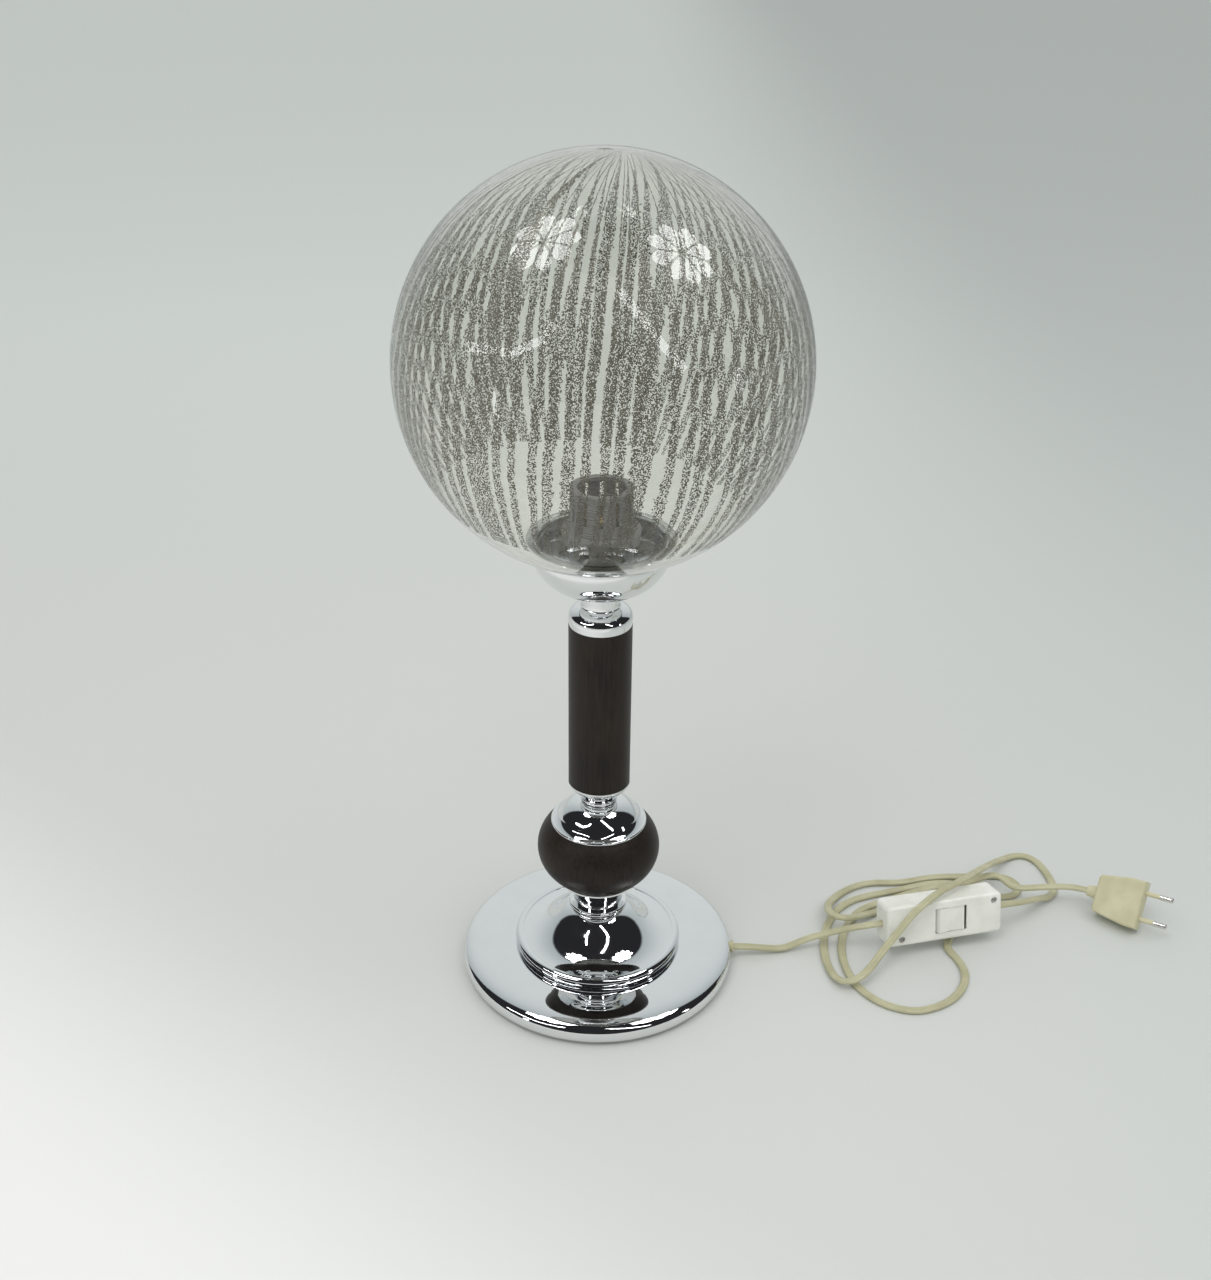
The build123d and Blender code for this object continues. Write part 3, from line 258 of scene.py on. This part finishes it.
def smoked_glass():
    """Clear blown glass with a slight smoke tint and dark speckled stripes on its outside."""
    material, tree, shader = new_material("smoked_glass")
    mask, drift = speckled_stripes(tree, place(tree))
    tint = mixed(tree, drift, rgb(0.958, 0.955, 0.925), rgb(0.978, 0.972, 0.945))
    grain = mixed(tree, drift, rgb(0.075, 0.071, 0.052), rgb(0.13, 0.123, 0.092))
    wire(tree, mixed(tree, mask, tint, grain), shader, "Base Color")
    wire(tree, linear(tree, mask, 0.0, 1.0, 0.015, 0.38), shader, "Roughness")
    wire(tree, calc(tree, "SUBTRACT", 1.0, mask), shader, "Transmission Weight")
    shader.inputs["IOR"].default_value = 1.46
    shadow = put(tree, "ShaderNodeLightPath").outputs["Is Shadow Ray"]
    clear = put(tree, "ShaderNodeBsdfTransparent",
                {"Color": mixed(tree, mask, rgb(0.93, 0.93, 0.91), rgb(0.45, 0.44, 0.40))})
    blend = put(tree, "ShaderNodeMixShader",
                {0: shadow, 1: shader.outputs[0], 2: clear.outputs[0]})
    wire(tree, blend.outputs[0], tree.nodes["Material Output"], "Surface")
    return material


def plastic(name, low, high, roughness, grain_scale, depth, grime=0.0):
    """Moulded plastic: two close shades, a fine surface and, if asked, a little grime."""
    material, tree, shader = new_material(name)
    point = place(tree)
    cloud = noise(tree, point, 60.0, 3.0)
    fine = noise(tree, point, grain_scale, 2.0)
    colour = mixed(tree, smooth(tree, cloud, 0.3, 0.7), rgb(*low), rgb(*high))
    spots = smooth(tree, noise(tree, point, 240.0, 3.0, 0.7), 0.62, 0.78)
    dirt = rgb(*(0.45 * value for value in low))
    wire(tree, mixed(tree, calc(tree, "MULTIPLY", spots, grime), colour, dirt),
         shader, "Base Color")
    wire(tree, linear(tree, fine, 0.3, 0.7, roughness - 0.05, roughness + 0.07),
         shader, "Roughness")
    bump(tree, shader, fine, 0.12, depth)
    return material


def metal(name, low, high, roughness, scale, stretch=(1, 1, 1)):
    """Plain metal with cloudy plating or machining marks."""
    material, tree, shader = new_material(name)
    marks = noise(tree, stretched(tree, place(tree), stretch), scale, 3.0, 0.6)
    wire(tree, mixed(tree, marks, rgb(*low), rgb(*high)), shader, "Base Color")
    shader.inputs["Metallic"].default_value = 1.0
    wire(tree, linear(tree, marks, 0.25, 0.75, roughness - 0.06, roughness + 0.10),
         shader, "Roughness")
    bump(tree, shader, marks, 0.08, 0.0002)
    return material


def cast_iron():
    material, tree, shader = new_material("cast_iron")
    point = place(tree)
    sand = noise(tree, point, 700.0, 4.0, 0.7)
    wire(tree, mixed(tree, sand, rgb(0.020, 0.019, 0.018), rgb(0.075, 0.068, 0.062)),
         shader, "Base Color")
    shader.inputs["Metallic"].default_value = 0.4
    wire(tree, linear(tree, sand, 0.3, 0.7, 0.6, 0.85), shader, "Roughness")
    bump(tree, shader, sand, 0.6, 0.0006)
    return material


def felt():
    material, tree, shader = new_material("felt")
    point = place(tree)
    fibres = noise(tree, stretched(tree, point, (1, 1, 3)), 2200.0, 4.0, 0.75)
    wire(tree, mixed(tree, fibres, rgb(0.008, 0.009, 0.009), rgb(0.045, 0.047, 0.045)),
         shader, "Base Color")
    shader.inputs["Roughness"].default_value = 0.95
    shader.inputs["Sheen Weight"].default_value = 0.4
    bump(tree, shader, fibres, 0.8, 0.0005)
    return material


THREAD_PITCH = 1.5 * MM


def holder_plastic(name, threads):
    """Dark grey lampholder plastic; the sleeve's outside carries a fine thread."""
    material, tree, shader = new_material(name)
    point = place(tree)
    cloud = noise(tree, point, 90.0, 3.0)
    fine = noise(tree, point, 1800.0, 2.0)
    wire(tree, mixed(tree, cloud, rgb(0.13, 0.13, 0.125), rgb(0.19, 0.19, 0.18)),
         shader, "Base Color")
    wire(tree, linear(tree, cloud, 0.3, 0.7, 0.30, 0.42), shader, "Roughness")
    height = calc(tree, "MULTIPLY", fine, 0.1)
    if threads:
        parts = put(tree, "ShaderNodeSeparateXYZ", {0: point})
        turn = calc(tree, "ARCTAN2", parts.outputs["Y"], parts.outputs["X"])
        rise = calc(tree, "MULTIPLY", parts.outputs["Z"], 2 * math.pi / THREAD_PITCH)
        phase = calc(tree, "ADD", rise, turn)
        ridge = calc(tree, "MULTIPLY", calc(tree, "SINE", phase), 0.5)
        height = calc(tree, "ADD", height, ridge)
    bump(tree, shader, height, 0.9 if threads else 0.2, 0.0006)
    return material


CHROME = chrome()
WOOD = wood()
GLASS = smoked_glass()
HOLDER = holder_plastic("holder_plastic", False)
HOLDER_THREAD = holder_plastic("holder_thread", True)
FLEX = plastic("cream_flex", (0.42, 0.40, 0.25), (0.52, 0.50, 0.33), 0.42, 1500.0, 0.0002, 0.10)
PLUG = plastic("cream_plug", (0.52, 0.49, 0.31), (0.61, 0.58, 0.39), 0.40, 1800.0, 0.0001, 0.12)
SWITCH = plastic("white_switch", (0.74, 0.735, 0.68), (0.83, 0.83, 0.78), 0.30, 1800.0,
                 0.0001, 0.06)
STEEL = metal("zinc_steel", (0.42, 0.42, 0.40), (0.62, 0.62, 0.60), 0.30, 260.0)
BRASS = metal("brass", (0.62, 0.45, 0.18), (0.80, 0.62, 0.28), 0.24, 300.0, (1, 1, 6))
NICKEL = metal("pin_nickel", (0.62, 0.60, 0.56), (0.78, 0.77, 0.74), 0.18, 500.0, (0.2, 1, 1))
IRON = cast_iron()
FELT = felt()

NODE_MATERIALS = {
    CHROME: ("base_shell", "saucer", "saucer_ring", "lower_neck", "ball_seat", "ball_cap",
             "cap_ring", "column_neck", "lower_ferrule", "upper_ferrule", "cup_ring",
             "gallery_cup"),
    WOOD: ("wood_ball", "wood_column"),
    GLASS: ("glass_globe",),
    HOLDER: ("lampholder_cap", "lampholder_insert", "shade_ring"),
    HOLDER_THREAD: ("lampholder_sleeve",),
    STEEL: ("base_washer", "base_nut", "threaded_tube", "cup_washer", "cup_locknut",
            "switch_screws"),
    BRASS: ("screw_shell", "centre_contact", "terminals", "switch_contacts"),
    NICKEL: ("plug_pins",),
    IRON: ("base_ballast",),
    FELT: ("base_felt",),
    FLEX: ("inner_flex",),
    PLUG: ("cord_grommet", "plug_body", "plug_strain_relief", "plug_pin_sleeves"),
    SWITCH: ("switch_base", "switch_cover", "switch_rocker"),
}


def dress_nodes():
    for material, names in NODE_MATERIALS.items():
        for name in names:
            mesh = NODES[name].data
            mesh.materials.clear()
            mesh.materials.append(material)


dress_nodes()


# ---- cords ---------------------------------------------------------------------------------

FLEX_WIDTH = 5.4
FLEX_THICKNESS = 2.8
TUBE_LIE = 2.7                  # a low point of the CAD tube's route, above the table
FLAT_LIE = 1.65                 # the same point for the flat flex
FREE_HEIGHT = 8.0               # above this the flat flex keeps the tube's line
CORE_ARC = 250.0                # degrees of each core's outline outside the web
CORE_STEPS = 10
CORD_STEPS = 6                  # mesh steps between two points of a route

ROUTE_TO_SWITCH = [
    (90.3, 0, 8), (101, 0, 8), (113, 2.5, 5.5), (125.5, 4.5, 3.5), (134, 7, 5), (142.5, 7.5, 9),
    (153, 8.5, 12), (163.5, 9, 15), (173, 7.5, 19), (182.7, 6.8, 21.7), (197.2, 10.4, 21.7),
]

ROUTE_TO_PLUG = [
    (271, 28.8, 21.7), (285.5, 32.4, 21.7), (298, 40, 17.5), (311, 54.5, 9), (322.5, 63.5, 4),
    (330, 73, 2.7), (330.5, 84, 2.7), (329, 96, 2.7), (326, 107.5, 2.7), (319.5, 115.5, 2.7),
    (310, 116, 2.7), (299, 108, 4.5), (287.2, 91.3, 12.5), (276, 74.2, 21), (264, 55.5, 30),
    (253.2, 36.3, 39.9), (242, 25.8, 41.8), (231.2, 16.3, 43.4), (219.6, 4.5, 43.2),
    (211, 0.9, 35.8), (203.2, -3.5, 26.4), (196.6, -7.4, 19.3), (189.7, -12.7, 12.5),
    (181.7, -23.4, 9.8), (173.9, -32, 9), (165.9, -33.8, 7), (159.6, -27.4, 4.4),
    (156, -15, 3), (154.5, 1.5, 2.7), (156.5, 19.5, 2.7), (162.5, 37, 2.7), (171, 51, 2.7),
    (181.5, 60, 2.7), (194, 65.5, 2.7), (209, 70, 2.7), (223, 74.5, 2.7), (237, 78.5, 3.5),
    (252, 80, 4), (265, 77.5, 3.5), (276.5, 71, 2.7), (287, 65.5, 2.7), (298, 66.5, 2.7),
    (305, 75, 2.7), (302.5, 85.5, 2.7), (292.5, 90.5, 2.7), (279.5, 90, 2.7), (266, 88, 3.5),
    (252, 87, 4), (237.5, 85.5, 3.5), (223, 81.7, 2.7), (209.5, 80.7, 2.7), (201, 81, 2.7),
    (190, 78.5, 2.7), (179, 72, 2.7), (170, 62.5, 3.5), (163, 50.5, 6.5), (161, 35.5, 10.5),
    (165, 27, 13), (173.5, 26, 12.5), (183, 34, 8), (194, 45, 3.5), (206, 50, 2.7),
    (218.5, 56.5, 2.7), (231.5, 62.5, 3.5), (246, 65, 4), (257.5, 60, 3), (261, 49, 2.7),
    (256.5, 37.5, 2.7), (248.5, 28, 2.7), (242.5, 17.5, 2.7), (239.5, 8.5, 2.7),
    (243.5, 0, 2.7), (247, -9.5, 2.7), (247, -22, 2.7), (241.5, -34.5, 2.7),
    (232.5, -45, 2.7), (220.5, -52, 2.7), (208.5, -55.5, 2.7), (197, -53.5, 2.7),
    (187, -48.5, 2.7), (179, -41, 2.7), (172.5, -31.5, 2.7), (168.5, -19.5, 2.7),
    (166.5, -4.5, 2.7), (167.5, 11, 2.7), (171.5, 26.5, 2.7), (178.5, 39, 2.7),
    (187, 50, 2.7), (200.5, 57.5, 2.7), (214.5, 64, 2.7), (229, 70, 3.5), (244, 73.5, 4.5),
    (258, 73, 7.5), (270, 72.5, 10.5), (282.8, 78.2, 12.3), (290.5, 74.4, 13),
    (293.1, 64.9, 13.3), (299.6, 60.4, 13.5), (310.5, 61.3, 13.8), (321.3, 62.1, 14),
    (330.7, 62.5, 14.1), (343.24, 61.9, 13.54), (353.7, 54.3, 14.9),
]


def flex_profile():
    """Section of the flat twin flex: two round cores joined by a web, with a groove each side."""
    core = FLEX_THICKNESS / 2
    offset = FLEX_WIDTH / 2 - core
    outline = []
    for side in (1, -1):
        for step in range(CORE_STEPS + 1):
            angle = math.radians(CORE_ARC * step / CORE_STEPS - CORE_ARC / 2)
            outline.append((side * (offset + core * math.cos(angle)), side * core * math.sin(angle)))
    curve = bpy.data.curves.new("flex_profile", "CURVE")
    spline = curve.splines.new("POLY")
    spline.points.add(len(outline) - 1)
    for point, (x, y) in zip(spline.points, outline):
        point.co = (x * MM, y * MM, 0, 1)
    spline.use_cyclic_u = True
    profile = bpy.data.objects.new("flex_profile", curve)
    SCENE.collection.objects.link(profile)
    profile.hide_render = True
    return profile


def lying_lower(point):
    """The flat flex lies nearer to the table than the CAD tube does, where the route is low."""
    x, y, z = point
    share = min(max((FREE_HEIGHT - z) / (FREE_HEIGHT - TUBE_LIE), 0.0), 1.0)
    return x, y, z - share * (TUBE_LIE - FLAT_LIE)


def make_cord(name, route, profile):
    """Smooth flat cord: one open NURBS spline with the route's points as control points."""
    curve = bpy.data.curves.new(name, "CURVE")
    curve.dimensions = "3D"
    curve.twist_mode = "Z_UP"
    curve.resolution_u = CORD_STEPS
    curve.bevel_mode = "OBJECT"
    curve.bevel_object = profile
    curve.use_fill_caps = True
    spline = curve.splines.new("NURBS")
    spline.points.add(len(route) - 1)
    for point, place_mm in zip(spline.points, route):
        x, y, z = lying_lower(place_mm)
        point.co = (x * MM, y * MM, z * MM, 1)
    spline.order_u = 3
    spline.use_endpoint_u = True
    curve.materials.append(FLEX)
    cord = bpy.data.objects.new(name, curve)
    SCENE.collection.objects.link(cord)
    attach(cord, "lamp")
    return cord


def make_cords():
    profile = flex_profile()
    first = make_cord("flex_base_to_switch", ROUTE_TO_SWITCH, profile)
    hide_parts("cord_base_to_switch")
    second = make_cord("flex_switch_to_plug", ROUTE_TO_PLUG, profile)
    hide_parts("cord_over_switch", "cord_behind_switch", "cord_under_switch",
                "cord_front_loop", "cord_to_plug")


make_cords()


# ---- cup -----------------------------------------------------------------------------------

CUP_SHEET = 1.0
CUP_RIM_RADIUS = 45.4
CUP_WAIST = (42.3, 8.0)         # radius and depth where the straight flare ends
CUP_FLOOR_RADIUS = 14.0
CUP_HOLE_RADIUS = 5.3
CUP_WALL_PULL = 12.0            # how far the bowl's curve follows the flare
CUP_FLOOR_PULL = 16.0           # how far it follows the flat floor
CUP_STEPS = 24
CUP_TURNS = 180


def bezier(start, first, second, end, steps):
    """Points of a cubic curve after its start."""
    points = []
    for step in range(1, steps + 1):
        t = step / steps
        u = 1 - t
        weights = (u ** 3, 3 * t * u * u, 3 * t * t * u, t ** 3)
        points.append(tuple(sum(w * p[axis] for w, p in zip(weights, (start, first, second, end)))
                            for axis in (0, 1)))
    return points


def lathe(name, outline, turns):
    """Surface of revolution round the stem from (radius, height) points in millimetres."""
    points, faces = [], []
    for radius, height in outline:
        for turn in range(turns):
            angle = 2 * math.pi * turn / turns
            points.append((radius * MM * math.cos(angle), radius * MM * math.sin(angle),
                           height * MM))
    for ring in range(len(outline) - 1):
        for turn in range(turns):
            after = (turn + 1) % turns
            here, there = ring * turns, (ring + 1) * turns
            faces.append((here + turn, here + after, there + after, there + turn))
    mesh = bpy.data.meshes.new(name)
    mesh.from_pydata(points, [], faces)
    for face in mesh.polygons:
        face.use_smooth = True
    piece = bpy.data.objects.new(name, mesh)
    SCENE.collection.objects.link(piece)
    return piece


def flared_cup():
    """Chromed cup: a bowl with a straight flare up to its rim."""
    low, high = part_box("gallery_cup")
    top, bottom = high[2] / MM, low[2] / MM
    waist_radius, depth = CUP_WAIST
    waist = (waist_radius, top - depth)
    slope = (CUP_RIM_RADIUS - waist_radius) / depth
    outline = [(CUP_RIM_RADIUS, top), waist]
    outline += bezier(waist, (waist_radius - CUP_WALL_PULL * slope, top - depth - CUP_WALL_PULL),
                      (CUP_FLOOR_RADIUS + CUP_FLOOR_PULL, bottom), (CUP_FLOOR_RADIUS, bottom),
                      CUP_STEPS)
    outline.append((CUP_HOLE_RADIUS, bottom))
    cup = lathe("flared_cup", outline, CUP_TURNS)
    wall = cup.modifiers.new("wall", "SOLIDIFY")
    wall.thickness = CUP_SHEET * MM
    wall.offset = 1.0
    cup.data.materials.append(CHROME)
    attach(cup, "lamp")
    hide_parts("gallery_cup")


flared_cup()


# ---- floor, light and background -------------------------------------------------------------


FLOOR_REACH = 30.0
REFLECTED_WALL = (0.0, 0.936, 0.353)        # towards the middle of the wall seen in reflections


def floor_material():
    """Pale table or paper with painted light in its colour: lighter towards the back, painted shade
    to the right and a painted pool of light at the front left.
    """
    material, tree, shader = new_material("floor")
    point = place(tree)
    parts = put(tree, "ShaderNodeSeparateXYZ", {0: point})
    # Painted light: these masks make the floor's tone follow the studio's light and shade, not the
    # table's own colour.
    far = smooth(tree, parts.outputs["Y"], 0.1, 1.6)
    right = smooth(tree, parts.outputs["X"], 0.05, 0.75)
    corner = calc(tree, "ADD", parts.outputs["X"], calc(tree, "MULTIPLY", parts.outputs["Y"], 1.2))
    painted_pool_front_left = smooth(tree, corner, -0.15, -0.60)
    # Painted light and shade: a brighter tone towards the back, painted shade to the right, a painted
    # pool of light at the front left.
    shade = mixed(tree, far, rgb(0.640, 0.650, 0.630), rgb(0.740, 0.775, 0.750))
    shade = mixed(tree, right, shade, rgb(0.560, 0.590, 0.575))
    shade = mixed(tree, painted_pool_front_left, shade, rgb(0.850, 0.845, 0.825))
    fibre = noise(tree, point, 900.0, 3.0)
    wire(tree, mixed(tree, calc(tree, "MULTIPLY", fibre, 0.04), shade, rgb(0.4, 0.42, 0.4)),
         shader, "Base Color")
    shader.inputs["Roughness"].default_value = 0.8
    shader.inputs["Specular IOR Level"].default_value = 0.25
    bump(tree, shader, fibre, 0.05, 0.0003)
    return material


def make_floor():
    mesh = bpy.data.meshes.new("floor")
    corners = [(x * FLOOR_REACH, y * FLOOR_REACH, 0) for x, y in ((-1, -1), (1, -1), (1, 1), (-1, 1))]
    mesh.from_pydata(corners, [], [(0, 1, 2, 3)])
    mesh.materials.append(floor_material())
    floor = bpy.data.objects.new("floor", mesh)
    SCENE.collection.objects.link(floor)


def make_world():
    """Even light; reflections see a dark studio with one pale wall behind the lamp."""
    world = bpy.data.worlds.new("studio")
    world.use_nodes = True
    tree = world.node_tree
    SCENE.world = world
    direction = put(tree, "ShaderNodeTexCoord").outputs["Generated"]
    behind = vector_calc(tree, "DOT_PRODUCT", direction, REFLECTED_WALL)
    wall = smooth(tree, behind, 0.46, 0.54)
    glow = smooth(tree, behind, 0.5, 1.0)
    pale = mixed(tree, glow, rgb(0.46, 0.50, 0.51), rgb(0.72, 0.75, 0.74))
    seen = mixed(tree, wall, rgb(0.022, 0.022, 0.024), pale)
    glossy = put(tree, "ShaderNodeLightPath").outputs["Is Glossy Ray"]
    plain = put(tree, "ShaderNodeBackground",
                {"Color": rgb(0.98, 1.0, 0.99), "Strength": 0.74})
    studio = put(tree, "ShaderNodeBackground", {"Color": seen, "Strength": 1.0})
    blend = put(tree, "ShaderNodeMixShader",
                {0: glossy, 1: plain.outputs[0], 2: studio.outputs[0]})
    wire(tree, blend.outputs[0], tree.nodes["World Output"], "Surface")


LAMP_MIDDLE = Vector((0, 0, 0.2))
REFLECTED_DISTANCE = 1.3        # from the lamp's middle to the lights that only reflections see
UMBRELLA_RADIUS = 0.30
UMBRELLA_GLOW = 9.0
PETALS = 8
PETAL_STEPS = 8
PETAL_START = 0.10              # these four are shares of the umbrella's radius
PETAL_MIDDLE = 0.68
PETAL_END = 0.32                # from its middle out to its round end
PETAL_HALF_WIDTH = 0.25
STRIP_WIDTH = 0.085
STRIP_GLOW = 7.0
WINDOW_WIDTH = 0.10
WINDOW_GLOW = 5.0
AREA_LAMP_DISTANCE = 1.7


def glowing_mesh(name, points, faces, strength):
    """A light seen only in reflections."""
    mesh = bpy.data.meshes.new(name)
    mesh.from_pydata(points, [], faces)
    material, tree, _ = new_material(name)
    glow = put(tree, "ShaderNodeEmission", {"Color": rgb(1, 1, 1), "Strength": strength})
    wire(tree, glow.outputs[0], tree.nodes["Material Output"], "Surface")
    mesh.materials.append(material)
    piece = bpy.data.objects.new(name, mesh)
    SCENE.collection.objects.link(piece)
    piece.visible_camera = False
    piece.visible_diffuse = False
    piece.visible_transmission = False
    piece.visible_shadow = False


def umbrella(name, direction, turn):
    """Bright petals round a hub, with dark ribs between them."""
    forward = Vector(direction).normalized()
    side = forward.cross(Vector((0, 1, 0))).normalized()
    up = side.cross(forward)
    middle = LAMP_MIDDLE + forward * REFLECTED_DISTANCE
    points, faces = [], []
    for petal in range(PETALS):
        heading = turn + 2 * math.pi * petal / PETALS
        outline = [(PETAL_START, 0.0)]
        for step in range(PETAL_STEPS + 1):
            angle = math.pi * (step / PETAL_STEPS - 0.5)
            outline.append((PETAL_MIDDLE + PETAL_END * math.cos(angle),
                            PETAL_HALF_WIDTH * math.sin(angle)))
        start = len(points)
        for along, across in outline:
            x = UMBRELLA_RADIUS * (along * math.cos(heading) - across * math.sin(heading))
            y = UMBRELLA_RADIUS * (along * math.sin(heading) + across * math.cos(heading))
            points.append(middle + side * x + up * y)
        faces.append(tuple(range(start, len(points))))
    glowing_mesh(name, points, faces, UMBRELLA_GLOW)


def toward(azimuth, elevation):
    """Direction from angles in degrees; azimuth 0 is towards the camera, 90 to the right."""
    turn, rise = math.radians(azimuth), math.radians(elevation)
    return Vector((math.sin(turn) * math.cos(rise), -math.cos(turn) * math.cos(rise),
                   math.sin(rise)))


def streak(name, spots, width, strength):
    """A bright strip through directions given as (azimuth, elevation)."""
    line = [LAMP_MIDDLE + toward(*spot) * REFLECTED_DISTANCE for spot in spots]
    points, faces = [], []
    for number, here in enumerate(line):
        before = line[max(number - 1, 0)]
        after = line[min(number + 1, len(line) - 1)]
        side = (after - before).cross(here - LAMP_MIDDLE).normalized() * width / 2
        points += [here - side, here + side]
        if number:
            base = 2 * number
            faces.append((base - 2, base - 1, base + 1, base))
    glowing_mesh(name, points, faces, strength)


def make_reflected_lights():
    umbrella("umbrella_left", (-0.35, -0.05, 0.93), 0.2)
    umbrella("umbrella_right", (0.46, -0.06, 0.88), 0.0)
    streak("strip_left", ((-29, 44), (-33, 36), (-48, 27), (-75, 22)), STRIP_WIDTH, STRIP_GLOW)
    streak("strip_right", ((12, 60), (24, 46), (34, 32), (42, 22)), STRIP_WIDTH, STRIP_GLOW)
    streak("window_left", ((-53, -3), (-53, 9)), WINDOW_WIDTH, WINDOW_GLOW)
    streak("window_right", ((71, 5), (71, 16)), WINDOW_WIDTH, WINDOW_GLOW)


def make_area_lamps():
    """The lamps that light the object; reflections and the camera don't see them."""
    for name, spot, energy, size in (("key", toward(-35, 62), 9.0, 1.1),
                                     ("fill", toward(70, 55), 4.5, 1.4)):
        data = bpy.data.lights.new(name, "AREA")
        data.shape = "DISK"
        data.size = size
        data.energy = energy
        lamp = bpy.data.objects.new(name, data)
        lamp.location = LAMP_MIDDLE + spot * AREA_LAMP_DISTANCE
        lamp.rotation_euler = (LAMP_MIDDLE - lamp.location).to_track_quat("-Z", "Y").to_euler()
        lamp.visible_glossy = False
        lamp.visible_transmission = False
        lamp.visible_camera = False
        SCENE.collection.objects.link(lamp)


make_floor()
make_world()
make_reflected_lights()
make_area_lamps()

SCENE.view_settings.view_transform = "Standard"
